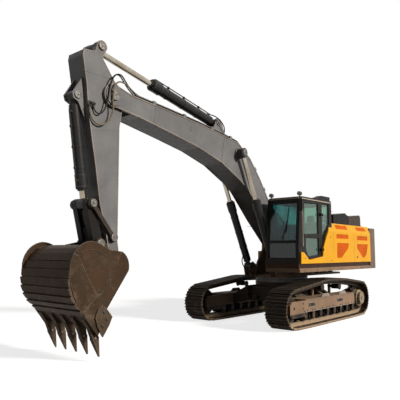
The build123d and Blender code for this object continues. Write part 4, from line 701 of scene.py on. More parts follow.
BOOM_OUTLINE = np.vstack([
    ((0.115, 2.195), (0.19, 2.345), (1.18, 3.35), (1.59, 3.88)),
    arc((1.62, 3.915), (2.05, 4.37), (2.64, 4.745)),
    ((3.18, 4.825), (4.15, 4.93), (5.18, 5.01), (6.30, 5.085), (6.69, 5.185)),
    arc((6.76, 5.195), (6.985, 4.96), (6.76, 4.725), 14),
    ((6.69, 4.735), (6.06, 4.67), (5.01, 4.50), (4.15, 4.35), (3.30, 4.12)),
    arc((2.60, 3.80), (2.32, 3.66), (2.09, 3.48)),
    ((1.37, 2.80), (0.46, 2.025)),
])
ARM_OUTLINE = np.vstack([
    ((6.47, 1.68), (6.545, 2.10), (6.555, 4.36), (6.475, 4.84)),
    arc((6.455, 4.90), (6.45, 4.98), (6.515, 5.15), 8),
    ((6.69, 5.26), (7.01, 5.66), (6.905, 5.87)),
    arc((6.91, 5.92), (7.02, 6.005), (7.14, 5.90), 10),
    ((7.19, 5.735), (7.445, 5.70), (7.465, 5.59), (7.36, 5.03), (7.31, 4.56), (7.225, 4.09)),
    ((7.115, 3.54), (6.985, 2.79), (6.83, 2.30), (6.728, 1.695)),
])


def plate_edge(outline, side, proud=0.007, depth=0.016):
    """The edge of the top and bottom plates that stands proud of a side plate, all round an outline."""
    return swept(at_side(outline, side), flat_section(-0.010, proud, -depth, 0.003), ring=True)


def bead(points, radius=0.006):
    """A weld bead: a half-sunk round run along straight lines."""
    path = np.asarray(points, float)
    return swept(path, round_section(radius, 6), carried(path))


NIPPLE = ((0, 0.012), (0.012, 0.012), (0.014, 0.006), (0.024, 0.007), (0.028, 0.003))


def pin_face(place, pin, count=3):
    """A pin's outer face: a raised rim, a sunk middle with a grease nipple, and bolts, on both sides."""
    (x, z), (y, radius) = place, pin
    steps = ((-0.004, 1.0), (0.006, 1.0), (0.009, 0.94), (0.009, 0.80), (0.002, 0.76))
    rim = turned([(along, radius * share) for along, share in steps], (x, y, z), ACROSS, 32)
    nipple = turned(NIPPLE, (x, y, z), ACROSS, 10)
    heads = bolt_circle((x, y + 0.001, z), ACROSS, radius * 0.5, count, radius * 0.11, radius * 0.13, 0.5)
    return both(together(rim, nipple, heads))


def boom_pieces():
    """Plate edges, weld seams, pin faces and the fittings at the boom's end."""
    edges = both(plate_edge(BOOM_OUTLINE, BOOM_SIDE, 0.009, 0.020))
    # the proud plate edges carry a painted highlight
    piece("boom_plate_edges", edges, edge_highlight_paint, "boom")
    seams = [
        bead(at_side(((1.17, 3.36), (1.43, 2.86)), BOOM_SIDE + 0.001)),
        bead(at_side(((3.18, 4.80), (3.32, 4.14)), BOOM_SIDE + 0.001)),
        bead(at_side(((5.60, 5.02), (5.66, 4.62)), BOOM_SIDE + 0.001)),
    ]
    for (x, z), radius in ((BOOM_CYL_EYE, 0.152), (ARM_PIVOT, 0.212)):
        angle = np.arange(40) * np.pi / 20
        circle = np.stack([x + radius * np.cos(angle), z + radius * np.sin(angle)], 1)
        seams.append(swept(at_side(circle, BOOM_SIDE + 0.002), round_section(0.008, 6), ring=True))
    piece("boom_weld_seams", both(together(*seams)), finishes["boom_charcoal"], "boom")
    faces = together(
        pin_face(BOOM_FOOT, FOOT_PIN, 4),
        pin_face(ARM_PIVOT, ARM_PIN, 4),
        pin_face(ARM_CYL_BASE, CYL_BASE_PIN),
    )
    piece("boom_pin_faces", faces, zinc, "boom")
    faces = pin_face(BOOM_CYL_EYE, BOOM_EYE_PIN)
    piece("boom_cylinder_pin_faces", faces, zinc, "boom_cylinder_rods")
    blocks = []
    for i, y in enumerate(BOOM_PIPES):
        blocks.append(turned(
            ((0, 0.019), (0.012, 0.026), (0.045, 0.026), (0.05, 0.021), (0.085, 0.021), (0.09, 0.017)),
            (5.99 + 0.04 * i, y, 5.1205 + 0.004 * i), (1, 0, 0.07), 6,
        ))
        blocks.append(turned(((0, 0.026), (0.03, 0.026), (0.035, 0.019), (0.06, 0.019)),
                             (0.96, y, 3.206), (-0.7, 0, -0.7), 6))
    piece("boom_pipe_unions", together(*blocks), zinc, "boom", 0.002)
    valve = together(
        block((5.36, -0.06, 5.015), (5.56, 0.11, 5.095)),
        turned(((0, 0.030), (0.05, 0.030), (0.056, 0.022), (0.085, 0.022)), (5.42, 0.00, 5.093), UP, 8),
        turned(((0, 0.030), (0.07, 0.030), (0.076, 0.022), (0.10, 0.022)), (5.50, 0.06, 5.093), UP, 8),
        turned(((0, 0.034), (0.04, 0.034), (0.045, 0.026), (0.07, 0.026)), (5.56, 0.02, 5.062), AHEAD, 8),
        bolts([(5.38, -0.04, 5.095), (5.38, 0.09, 5.095), (5.54, -0.04, 5.095)], UP, 0.011, 0.011),
    )
    piece("boom_tip_valve", valve, dark_steel, "boom", 0.003)
    tabs = both(together(
        block((4.42, 0.292, 4.70), (4.50, 0.297, 4.80)),
        bolts([(4.46, 0.297, 4.725), (4.46, 0.297, 4.775)], ACROSS, 0.009, 0.008),
    ))
    piece("boom_side_tabs", tabs, finishes["boom_charcoal"], "boom", 0.002)


def arm_pieces():
    """Plate edges, seams, a hose clamp on the arm's side and the pin faces."""
    edges = both(plate_edge(ARM_OUTLINE, ARM_SIDE, 0.004, 0.018))
    # the proud plate edges carry a painted highlight
    piece("arm_plate_edges", edges, edge_highlight_paint, "arm")
    seams = both(together(
        bead(at_side(((6.56, 4.30), (7.24, 4.18)), ARM_SIDE), 0.004),
        bead(at_side(((6.55, 2.42), (6.86, 2.40)), ARM_SIDE), 0.004),
        bead(at_side(((6.72, 5.30), (7.42, 5.28)), ARM_SIDE), 0.004),
    ))
    piece("arm_weld_seams", seams, finishes["boom_charcoal"], "arm")
    faces = together(
        pin_face(BUCKET_CYL_BASE, CYL_BASE_PIN),
        pin_face(LINK_PIVOT, LINK_PIVOT_PIN),
    )
    piece("arm_pin_faces", faces, zinc, "arm")
    piece("arm_cylinder_pin_faces", pin_face(ARM_CYL_EYE, ARM_EYE_PIN), zinc, "arm")
    piece("link_eye_faces", pin_face(LINK_EYE, LINK_EYE_PIN), zinc, "side_links")
    faces = together(pin_face(BUCKET_EYE, BUCKET_PIN, 4), pin_face(BUCKET_PIVOT, BUCKET_PIN, 4))
    piece("bucket_pin_faces", faces, zinc, "bucket")
    clamp = together(
        block((7.17, 0.230, 4.60), (7.325, 0.240, 4.74)),
        block((7.27, 0.236, 4.615), (7.325, 0.282, 4.655)),
        block((7.17, 0.236, 4.675), (7.27, 0.278, 4.715)),
        bolts([(7.297, 0.282, 4.635), (7.20, 0.278, 4.695), (7.24, 0.278, 4.695)], ACROSS, 0.010, 0.010),
    )
    piece("arm_hose_clamp", clamp, finishes["cylinder_dark"], "arm", 0.003)


def cylinder_fittings(base, eye, y, tube_radius, head, base_eye):
    """Bolts round the collar, rings on it, ports with their pipe, and clamps, along the cylinder."""
    direction = unit((eye[0] - base[0], 0, eye[1] - base[1]))
    up = np.cross(direction, ACROSS)
    start = np.array((base[0], y, base[1]), float)
    at = lambda along, side=0.0, out=0.0: start + direction * along + np.array((0, side, 0)) + up * out
    collar = tube_radius + COLLAR_PROUD
    parts = [bolt_circle(at(head), direction, collar - 0.022, 10, 0.013, 0.016)]
    ring = ((0, collar - 0.001), (0.004, collar + 0.004), (0.016, collar + 0.004), (0.020, collar - 0.001))
    # the boom's cylinders pass the cab and the boom with no room for rings
    for along in () if y else (head - 0.262, head - 0.045):
        parts.append(turned(ring, at(along), direction, 40, hollow=True))
    # the pipe stands beside the tube's top line, off its middle by a clamp's width
    beside, inner, outer = 0.03, tube_radius - 0.01, tube_radius + 0.040
    first, last = base_eye + 0.20, head - 0.15
    pipe = [
        at(first, beside, inner), at(first, beside, outer - 0.012), at(first + 0.05, beside, outer),
        at(last - 0.05, beside, outer), at(last, beside, outer - 0.012), at(last, beside, inner),
    ]
    dark = [tube(pipe, 0.013, 10, 6)]
    near, far = tube_radius - 0.001, tube_radius + 0.007
    for share in (0.2, 0.5, 0.8):
        along = first + share * (last - first)
        band = ((0, near), (0, far), (0.035, far), (0.035, near))
        dark.append(turned(band, at(along), direction, 40, hollow=True))
        middle = at(along + 0.0175, beside, outer - 0.005)
        dark.append(turned(((-0.02, 0.028), (0.02, 0.028)), middle, direction, 12))
    port = ((0, 0.032), (0.030, 0.032), (0.034, 0.024), (0.05, 0.024))
    for along in (first, last):
        dark.append(turned(port, at(along, beside, tube_radius - 0.012), up, 8))
    return together(*parts), together(*dark)


def cylinder_pieces():
    """Each cylinder's bolts and rings, and its pipe with clamps."""
    for name, body, base, eye, y, tube_radius, head, base_eye in CYLINDERS:
        steel, dark = cylinder_fittings(base, eye, y, tube_radius, head, base_eye)
        if y:
            steel, dark = both(steel), both(dark)
        piece(f"{name}_head_bolts", steel, dark_steel, body)
        piece(f"{name}_pipe", dark, finishes["cylinder_dark"], body)


CUTTER_FACE = 0.8023
TOOTH_STEP = 0.3265


def bucket_pieces():
    """Bolts of the side cutters, and the teeth's pins."""
    places = at_side(((7.276, 0.867), (7.300, 0.640), (7.206, 0.740)), CUTTER_FACE)
    heads = bolts(places, ACROSS, 0.026, 0.022)
    piece("side_cutter_bolts", both(heads), dark_steel, "bucket", 0.002)
    ys = (np.arange(5) - 2) * TOOTH_STEP
    places = np.stack([np.full(5, 7.375), ys + 0.046, np.full(5, 0.43)], 1)
    pin = turned(((0, 0.018), (0.006, 0.018), (0.009, 0.012)), (0, 0, 0), (0, 0, 1), 12)
    piece("tooth_pins", repeated(pin, places, basis((0, 1, 0))), zinc, "bucket")


# Undercarriage


def hub_cap(x, y, z, radius, steps, sides=36):
    """A hub's face on both tracks: rings of falling radius, from a profile of shares."""
    return both(turned([(a, radius * r) for a, r in steps], (x, y, z), (0, 1, 0), sides))


# wheels that the link pins go round: x, z and the pin line's radius, backwards along the top
BELT_WHEELS = ((2.06, 0.51, 0.395), (0.26, 0.955, 0.14), (-0.82, 0.93, 0.14), (-2.06, 0.525, 0.41),
               (-1.50, 0.27, 0.165), (1.42, 0.27, 0.165))
SHOE_COUNT = 50
SHOE_FACE = 0.075


def shoe_places():
    """Each shoe's middle (x, z) and its outward direction, even along the belt round the wheels."""
    wheels = np.array(BELT_WHEELS)
    after = np.roll(wheels, -1, 0)
    run = after - wheels
    span = np.hypot(run[:, 0], run[:, 1])
    leave = np.arctan2(run[:, 1], run[:, 0]) - np.arccos((wheels[:, 2] - after[:, 2]) / span)
    arrive = np.roll(leave, 1)
    turn = (leave - arrive) % (2 * np.pi)
    angle = arrive[:, None] + turn[:, None] * np.linspace(0, 1, 40)[None]
    line = wheels[:, None, :2] + wheels[:, None, 2:] * np.stack([np.cos(angle), np.sin(angle)], -1)
    line = np.roll(line.reshape(-1, 2), -40, 0)
    start = wheels[0, :2] + wheels[0, 2] * np.array((np.cos(leave[0]), np.sin(leave[0])))
    line = np.vstack([start, line[:-1] if np.allclose(line[-1], start) else line, start])
    along = np.concatenate([[0], np.cumsum(np.hypot(*np.diff(line, axis=0).T))])
    at = np.arange(SHOE_COUNT + 1) / SHOE_COUNT * along[-1]
    pins = np.stack([np.interp(at, along, line[:, 0]), np.interp(at, along, line[:, 1])], 1)
    ahead = unit(np.diff(pins, axis=0))
    return (pins[:-1] + pins[1:]) / 2, np.stack([ahead[:, 1], -ahead[:, 0]], 1)


def shoe_bolts():
    """Four bolts on each shoe: middle + outward * face height, and along and across the track."""
    middle, out = shoe_places()
    ahead = np.stack([-out[:, 1], out[:, 0]], 1)
    zero = np.zeros(len(out))
    spread = lambda flat: np.stack([flat[:, 0], zero, flat[:, 1]], 1)
    turns = np.stack([spread(ahead), np.cross(spread(out), spread(ahead)), spread(out)], -1)
    shapes = []
    for along in (-0.030, 0.030):
        for across in (-0.125, -0.051, 0.051, 0.125):
            flat = middle + out * (SHOE_FACE - 0.001) + ahead * along
            places = spread(flat) + (0, TRACK_MIDDLE + across, 0)
            shapes.append(repeated(hex_bolt(0.012, 0.011), places, turns))
    piece("shoe_bolts", both(together(*shapes)), dark_steel, "undercarriage")


def track_pieces():
    """Roller caps with bolts, dark slabs of painted shade in the frame's slots, frame plates, and the final
    drives' rims and bolts.
    """
    caps, heads = [], []
    roller = ((0, 1.0), (0.012, 1.0), (0.016, 0.8), (0.016, 0.55), (0.022, 0.5))
    carrier = ((0, 1.0), (0.010, 1.0), (0.014, 0.85), (0.014, 0.5), (0.020, 0.45))
    for i in range(ROLLER_COUNT):
        x = TRACK_CENTRE + (i - (ROLLER_COUNT - 1) / 2) * ROLLER_STEP
        caps.append(hub_cap(x, FRAME_FACE - 0.155, ROLLER_HEIGHT, 0.075, roller, 24))
        for dx in (-0.075, 0.075):
            heads.append(both(bolts([(x + dx, FRAME_FACE + 0.001, 0.425)], ACROSS, 0.016, 0.015)))
    for x, z in CARRIERS:
        caps.append(hub_cap(x, 1.4255, z, 0.10, carrier))
        heads.append(both(bolt_circle((x, 1.4375, z), ACROSS, 0.068, 6, 0.009, 0.008)))
    piece("roller_caps", together(*caps), finishes["roller_black"], "undercarriage")
    x, z = DRIVE
    heads.append(both(bolt_circle((x, DRIVE_FACE, z), ACROSS, 0.150, 12, 0.013, 0.012)))
    heads.append(both(bolt_circle((x, DRIVE_FACE + 0.018, z), ACROSS, 0.042, 4, 0.009, 0.009)))
    guard = [(1.56, FRAME_FACE + 0.001, height) for height in (0.36, 0.50, 0.62)]
    heads.append(both(bolts(guard, ACROSS, 0.016, 0.014)))
    piece("track_frame_bolts", together(*heads), dark_steel, "undercarriage")
    # a dark disc on the guard stands for its hole: painted shade
    hole_shade = ((-0.002, 1.0), (0.004, 1.0), (0.005, 0.80), (0.001, 0.70))
    hole_shades = hub_cap(2.02, FRAME_FACE, 0.53, 0.034, hole_shade)
    piece("idler_guard_hole_shades", hole_shades, rubber, "undercarriage")
    rim = ((-0.002, 1.0), (0.008, 0.99), (0.010, 0.93), (0.004, 0.90), (0.004, 0.72))
    drive = hub_cap(x, DRIVE_FACE, z, 0.185, rim)
    piece("final_drive_rims", drive, node_finishes["final_drives"], "undercarriage")
    # dark slabs in the frame's slots are painted shade
    frames, slot_shades = [], []
    for x in (1.10, -0.60):
        ring = np.array(((-0.17, -0.045), (0.17, -0.045), (0.17, 0.045), (-0.17, 0.045))) + (x, 0.565)
        slot_shades.append(slab(ring, FRAME_FACE + 0.001, FRAME_FACE + 0.004))
        border = flat_section(-0.001, 0.008, -0.006, 0.006)
        frames.append(swept(at_side(ring, FRAME_FACE + 0.002), border, ring=True))
        for dx in (-0.10, 0.10):
            frames.append(bolts([(x + dx, FRAME_FACE + 0.004, 0.565)], ACROSS, 0.014, 0.012))
    frames.append(block((-1.60, FRAME_FACE - 0.004, 0.690), (1.47, FRAME_FACE + 0.012, 0.718)))
    frames.append(block((-1.60, FRAME_FACE - 0.004, 0.395), (1.47, FRAME_FACE + 0.012, 0.412)))
    frames.append(slab(((-0.02, 0.70), (0.54, 0.70), (0.42, 0.80), (0.10, 0.80)), 1.50, 1.525))
    frames.append(slab(((-1.10, 0.70), (-0.54, 0.70), (-0.66, 0.80), (-0.98, 0.80)), 1.50, 1.525))
    # the ribs and slot borders carry a painted highlight
    piece("track_frame_ribs", both(together(*frames)), edge_highlight_paint, "undercarriage", 0.002)
    piece("track_frame_slot_shades", both(together(*slot_shades)), rubber, "undercarriage")
    ring_bolts = bolt_circle((0, 0, 1.065), (0, 0, 1), 0.70, 36, 0.016, 0.020)
    piece("slewing_ring_bolts", ring_bolts, dark_steel, "undercarriage")


# House and cab


def plate_bolts(places, y, radius=0.012):
    """Round-headed bolts on a wall: places (x, z) at y."""
    profile = ((0, radius), (0.003, radius), (0.007, radius * 0.6), (0.008, 0.002))
    head = turned(profile, (0, 0, 0), UP, 12)
    return repeated(head, at_side(places, y), basis(ACROSS))


def house_pieces():
    """Panel door locks, hood strips and hinges, tank caps, bolts on the upper parts, deck studs, the
    exhaust's rim, a dark strip of painted shade across the counterweight, and skirt bolts.
    """
    lock_x, lock_z = PANEL_LOCK
    ring = ((0, 0.034), (0.005, 0.034), (0.008, 0.028), (0.004, 0.024))
    low = (lock_x - 0.013, HOUSE_SIDE - 0.002, lock_z - 0.022)
    high = (lock_x + 0.013, HOUSE_SIDE + 0.010, lock_z + 0.022)
    locks = together(
        turned(ring, (lock_x, HOUSE_SIDE, lock_z), ACROSS, 24),
        block(low, high),
        plate_bolts([(-0.024, 2.332), (1.453, 1.755), (-0.102, 1.684)], HOUSE_SIDE, 0.018),
    )
    piece("left_panel_locks", locks, dark_steel, "house", 0.001)
    low, high = HOOD_TOP - 0.005, HOOD_TOP + 0.005
    bands = [both(block((-2.95, 1.425, low), (-0.25, 1.44, high)))]
    for x in (-2.6, -1.6, -0.6):
        top = HOOD_TOP + 0.012
        bands.append(both(block((x - 0.05, 1.395, HOOD_TOP - 0.002), (x + 0.05, 1.43, top))))
        bands.append(both(bolts([(x - 0.03, 1.412, top), (x + 0.03, 1.412, top)], UP, 0.009, 0.007)))
    piece("hood_hinges", together(*bands), finishes["hood_grey"], "house", 0.002)
    fuel_cap = (
        (0, 0.075), (0.02, 0.075), (0.024, 0.066), (0.050, 0.064), (0.056, 0.055), (0.056, 0.020),
    )
    oil_cap = ((0, 0.060), (0.03, 0.060), (0.034, 0.050), (0.044, 0.045))
    caps = together(
        turned(fuel_cap, (-1.50, -1.07, 2.609), UP, 24),
        turned(oil_cap, (-1.92, -1.07, 2.719), UP, 24),
    )
    piece("tank_caps", caps, dark_steel, "house")
    tank = np.array([(x, y, 2.721) for x in (-2.08, -1.76) for y in (-1.5, -1.07, -0.64)])
    box_side = np.array([(x, 1.2652, z) for x in (-1.93, -0.92) for z in (2.80, 3.05)])
    tank_side = np.array([(-1.5, -1.551, z) for z in (1.70, 2.10, 2.50)])
    box_top = np.array([(x, y, 3.131) for x in (-1.90, -0.95) for y in (0.75, 1.21)])
    heads = together(
        bolts(tank, UP, 0.012),
        bolts(box_side, ACROSS, 0.011),
        bolts(tank_side, (0, -1, 0), 0.012),
        bolts(box_top, UP, 0.011),
    )
    piece("upper_bolts", heads, dark_steel, "house")
    stud = turned(((0, 0.020), (0.004, 0.018), (0.006, 0.012), (0.002, 0.010)), (0, 0, 0), UP, 10)
    x, y = np.meshgrid(np.arange(8) * 0.11 - 0.88, (-0.70, -0.90, -1.10, -1.30), indexing="ij")
    places = np.stack([x, y, np.full_like(x, DECK_TOP)], -1).reshape(-1, 3)
    piece("deck_grips", repeated(stud, places, np.eye(3)), zinc, "house")
    lip = ((0, 0.079), (0.012, 0.083), (0.012, 0.076), (0.004, 0.074))
    rim = turned(lip, EXHAUST_END, UP, 32, hollow=True)
    piece("exhaust_rim", rim, dark_steel, "house")
    # a dark strip across the counterweight stands for a groove's painted shade
    line = ((-3.755, 1.0, 2.30), (-3.755, -1.0, 2.30))
    groove_shade = swept(line, flat_section(-0.010, 0.010, -0.004, 0.004), UP)
    piece("counterweight_groove_shade", groove_shade, rubber, "house")
    xs = (-2.7, -2.2, -1.45, -0.7, 0.05, 0.8, 1.5)
    left = bolts([(x, HOUSE_SIDE + 0.0005, 1.4375) for x in xs], ACROSS, 0.013, 0.010)
    right = bolts([(x, -HOUSE_SIDE - 0.0005, 1.4375) for x in xs[:3]], (0, -1, 0), 0.013, 0.010)
    piece("skirt_bolts", together(left, right), dark_steel, "house")


def gasket(corners, thick=0.018, proud=0.010):
    """A rubber seal round a pane: a flat section swept round its corners, across its plane's normal."""
    corners = np.asarray(corners, float)
    normal = unit(np.cross(corners[1] - corners[0], corners[2] - corners[1]))
    return swept(corners, flat_section(-0.004, proud, -thick, thick * 0.4), normal, ring=True)


def cab_pieces():
    """Window seals, a painted highlight along the roof's edge, wiper, door handle, lamps, and a painted
    highlight along the pillar's edge.
    """
    near, far = 0.615, 1.430
    right, inner = CAB_RIGHT + 0.012, 1.487
    seals = together(
        gasket([(1.672, near, 2.198), (1.672, far, 2.198), (1.574, far, 3.20), (1.574, near, 3.20)]),
        gasket([(1.676, near, 1.748), (1.676, far, 1.748), (1.676, far, 2.160), (1.676, near, 2.160)]),
        gasket(at_side(((0.385, 3.255), (0.385, 2.165), (0.25, 2.40), (-0.05, 2.69), (-0.05, 3.255)), inner)),
        gasket(at_side(((-0.06, 2.08), (1.42, 2.08), (1.42, WINDOW_HEAD), (-0.06, WINDOW_HEAD)), right)),
        gasket([(-0.205, y, z) for y, z in (
            (0.65, 2.76), (0.65, WINDOW_HEAD), (1.405, WINDOW_HEAD), (1.405, 2.76),
        )]),
    )
    piece("cab_window_seals", seals, rubber, "house")
    upper = ((0.60, 3.235), (1.385, 3.21), (1.42, 2.37), (0.60, 2.395))
    lower = ((0.585, 2.30), (1.32, 2.30), (1.32, 1.99), (1.165, 1.778), (0.585, 1.838))
    seals = together(gasket(at_side(upper, DOOR_GLASS_FACE)), gasket(at_side(lower, DOOR_GLASS_FACE)))
    piece("door_window_seals", seals, rubber, "cab_door")
    bar = [
        (x, y, 2.36) for x, y in ((1.31, 1.505), (1.31, 1.532), (1.36, 1.5385), (1.41, 1.532), (1.41, 1.505))
    ]
    lock = turned(((0, 0.016), (0.005, 0.016), (0.007, 0.010)), (1.36, 1.516, 2.315), ACROSS, 16)
    piece("door_handle_bar", together(tube(bar, 0.009), lock), dark_steel, "cab_door")
    hinge_bolts = plate_bolts([(0.52, z) for z in (1.965, 2.005, 2.915, 2.955)], CAB_SIDE + 0.0005, 0.009)
    piece("door_hinge_bolts", hinge_bolts, dark_steel, "cab_door")
    # pale strips along the roof's edges: painted highlight
    low, high = CAB_TOP - 0.064, CAB_TOP - 0.038
    edge_highlights = together(
        block((-0.19, 1.500, low), (1.50, 1.519, high)),
        block((1.565, 0.60, low), (1.585, 1.46, high)),
    )
    piece("roof_edge_highlight", edge_highlights, finishes["rail_steel"], "house", 0.002)
    # a pale bar along the front pillar's edge: painted highlight
    line = ((1.690, 1.503, 1.80), (1.686, 1.503, 2.20), (1.585, 1.503, 3.25))
    piece("pillar_edge_highlight", swept(line, round_section(0.007, 8)), finishes["rail_steel"], "house")
    blade = ((1.662, 1.12, 2.40), (1.630, 1.15, 2.70), (1.592, 1.19, 3.10))
    wiper = together(
        tube(((1.690, 1.02, 2.19), (1.700, 1.02, 2.22), (1.640, 1.16, 2.75)), 0.008),
        swept(blade, flat_section(-0.006, 0.006, -0.010, 0.010)),
        turned(((0, 0.024), (0.016, 0.024), (0.020, 0.016)), (1.676, 1.02, 2.19), AHEAD, 16),
    )
    piece("windscreen_wiper", wiper, rubber, "house")
    rim = ((-0.01, 0.056), (0.004, 0.056), (0.006, 0.050), (0.001, 0.046))
    dome = ((0.0, 0.047), (0.003, 0.040), (0.0045, 0.020), (0.005, 0.002))
    fronts = [(LAMP_FRONT, y, LAMP_HEIGHT) for y in LAMP_SIDES]
    rims = together(*(turned(rim, place, AHEAD, 28) for place in fronts))
    lenses = together(*(turned(dome, place, AHEAD, 28) for place in fronts))
    piece("lamp_rims", rims, zinc, "house")
    piece("lamp_lenses", lenses, lens, "house")
    left = block((1.6985, 1.560, 2.97), (1.7005, 1.640, 3.26))
    right = block((-1.1915, -1.455, 2.58), (-1.1895, -1.285, 2.84))
    piece("mirror_faces", together(left, right), mirror_face, "house")


# Operator's place

SEAT_MIDDLE = 1.0275
BACK_LEAN = -0.13


def pad(centre, half, power=0.42, crown=0.12, lean=0.0):
    """A stuffed form: cosines and sines to a power below 1 give a boxy oval, and its sides pull in."""
    v = np.linspace(-np.pi / 2, np.pi / 2, 25)[:, None]
    u = (np.arange(48) * 2 * np.pi / 48)[None]
    bend = lambda value: np.sign(value) * np.abs(value) ** power
    x = bend(np.cos(v)) * bend(np.cos(u))
    y = bend(np.cos(v)) * bend(np.sin(u))
    z = bend(np.sin(v)) * np.ones_like(u)
    pinch = 1 - crown * 0.35 * (1 - np.abs(x * y))
    swell = 1 + crown * (1 - x**2) * (1 - y**2) * (z > 0)
    grid = np.stack([x * pinch * half[0], y * pinch * half[1], z * swell * half[2]], -1)
    turn = Matrix.Rotation(lean, 3, "Y")
    return skin(grid).placed(centre, np.array(turn))


def piping(centre, half, height, lean=0.0, radius=0.005):
    """The corded seam round a pad, at a share of its height."""
    u = np.arange(64) * 2 * np.pi / 64
    bend = lambda value: np.sign(value) * np.abs(value) ** 0.42
    ring = np.stack([bend(np.cos(u)) * half[0], bend(np.sin(u)) * half[1], np.full(64, height * half[2])], 1)
    turn = np.array(Matrix.Rotation(lean, 3, "Y"))
    return swept(ring @ turn.T + centre, round_section(radius, 6), (0, 0, 1) @ turn.T, ring=True)


def seat_pieces():
    """The seat: a box with bellows, a crowned cushion, a leaning back and a head pad, with their seams."""
    levels = np.linspace(1.68, 2.005, 15)
    wave = 0.010 * np.cos(np.arange(15) * np.pi)
    corner = np.array(((-1, -1), (1, -1), (1, 1), (-1, 1)))
    flat = corner[None] * (np.array((0.22, 0.18)) + wave[:, None])[:, None] + (0.41, SEAT_MIDDLE)
    rings = np.concatenate([flat, np.broadcast_to(levels[:, None, None], (15, 4, 1))], -1)
    bellows = piece("seat_bellows", skin(rings), rubber, "house")
    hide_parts("operator_seat")
    middle, half = (0.415, SEAT_MIDDLE, 2.075), (0.268, 0.245, 0.060)
    pads = (
        ("seat_cushion", pad(middle, half)),
        ("seat_back", pad((0.145, SEAT_MIDDLE, 2.44), (0.060, 0.235, 0.315), 0.42, 0.08, BACK_LEAN)),
        ("seat_head_pad", pad((0.10, SEAT_MIDDLE, 2.855), (0.045, 0.125, 0.095), 0.5, 0.08, BACK_LEAN)),
    )
    for name, shape in pads:
        piece(name, shape, finishes["seat_fabric"], "house")
    seams = together(
        piping(middle, (0.262, 0.240, 0.060), 0.35),
        tube([(x, SEAT_MIDDLE, z) for x, z in ((0.20, 2.138), (0.40, 2.146), (0.62, 2.137))], 0.003, 6),
    )
    piece("seat_seams", seams, rubber, "house")


# Hoses


def hose_line(route):
    """Points along the NURBS line of a route, read from a curve without thickness."""
    curve = bpy.data.curves.new("hose_route", "CURVE")
    curve.dimensions = "3D"
    curve.resolution_u = 10
    spline = curve.splines.new("NURBS")
    spline.points.add(len(route) - 1)
    spline.points.foreach_set("co", [value for point in route for value in (*point, 1.0)])
    spline.order_u = 3
    spline.use_endpoint_u = True
    holder = bpy.data.objects.new("hose_route", curve)
    bpy.context.scene.collection.objects.link(holder)
    mesh = bpy.data.meshes.new_from_object(holder)
    points = np.empty(len(mesh.vertices) * 3)
    mesh.vertices.foreach_get("co", points)
    bpy.data.objects.remove(holder)
    bpy.data.meshes.remove(mesh)
    return points.reshape(-1, 3)


def hose(name, route, radius, finish, body, to_body, start, end):
    """A hydraulic hose along a route, with a crimped sleeve at both ends."""
    line = hose_line(route)
    shapes = [swept(line, round_section(radius, 10), carried(line))]
    crimp = ((-0.004, radius * 1.25), (0.035, radius * 1.3), (0.040, radius * 1.05))
    for here, there in ((line[0], line[2]), (line[-1], line[-3])):
        shapes.append(turned(crimp, here, there - here, 12))
    made = piece(name, together(*shapes), finish, None)
    length = float(np.linalg.norm(np.diff(line, axis=0), axis=1).sum())
    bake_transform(made)


def hose_pieces():
    """The hoses over the boom's tip, at its foot, to its cylinders and to the arm cylinder."""
    pipe_x, pipe_z = PIPE_END
    over_tip = dict(body="boom", to_body="arm", start=(6.45, 0, 5.25), end=(6.85, 0, 4.75))
    hose("arm_loop_hose", [
        (pipe_x, BOOM_PIPES[2], pipe_z), (6.26, 0.28, 5.17), (6.48, 0.355, 5.24), (6.70, 0.385, 5.25),
        (6.83, 0.38, 5.12), (6.83, 0.36, 4.86), (6.80, 0.34, 4.62), (6.87, 0.32, 4.42),
        (7.05, 0.30, 4.29), (7.22, 0.28, 4.34), (7.30, 0.262, 4.50), (7.30, 0.256, 4.62),
    ], 0.016, sleeve, **over_tip)
    for y in BOOM_PIPES[:2]:
        hose(f"tip_hose_{int(y * 100)}", [
            (pipe_x, y, pipe_z), (6.22, y + 0.01, 5.19), (6.42, y + 0.05, 5.33), (6.62, y + 0.14, 5.42),
            (6.80, 0.33 + (y - 0.15) * 0.5, 5.36), (6.90, 0.34, 5.10), (6.93, 0.33, 4.78),
            (7.02, 0.31, 4.55), (7.14, 0.29, 4.50), (7.22, 0.262, 4.60), (7.40 - y, 0.255, 4.70),
        ], 0.014, hose_rubber, **over_tip)
    to_arm_cylinder = dict(
        body="boom", to_body="arm_cylinder_tube", start=(3.10, 0, 5.0), end=(3.50, 0, 5.33)
    )
    hose("arm_cylinder_hose", [
        (3.05, 0.15, 4.88), (3.06, 0.20, 4.98), (3.14, 0.24, 5.10), (3.30, 0.22, 5.24),
        (3.48, 0.14, 5.33), (3.58, 0.03, 5.34),
    ], 0.013, hose_rubber, **to_arm_cylinder)
    at_foot = dict(body="house", to_body="boom", start=(0.00, 0, 2.35), end=(0.70, 0, 2.95))
    for i, y in enumerate(BOOM_PIPES):
        hose(f"foot_hose_{i + 1}", [
            (-0.232, y, 2.28), (-0.12, y, 2.28), (0.02, y, 2.36), (0.10, y, 2.56), (0.26, y, 2.80),
            (0.52, y, 2.96), (0.76, y, 3.06), (0.90, y, 3.15), (0.955, y, 3.203),
        ], 0.015, hose_rubber, **at_foot)
    to_cylinder = dict(
        body="house", to_body="boom_cylinder_tubes", start=(0.95, 0, 1.30), end=(1.35, 0, 1.65)
    )
    for sign, side in ((1, "left"), (-1, "right")):
        hose(f"boom_cylinder_hose_{side}", [
            (0.78, sign * 0.20, 1.26), (0.92, sign * 0.21, 1.27), (1.12, sign * 0.26, 1.30),
            (1.36, sign * 0.33, 1.40), (1.50, sign * 0.39, 1.58), (1.47, sign * 0.415, 1.74),
            (1.378, sign * 0.42, 1.816),
        ], 0.015, hose_rubber, **to_cylinder)


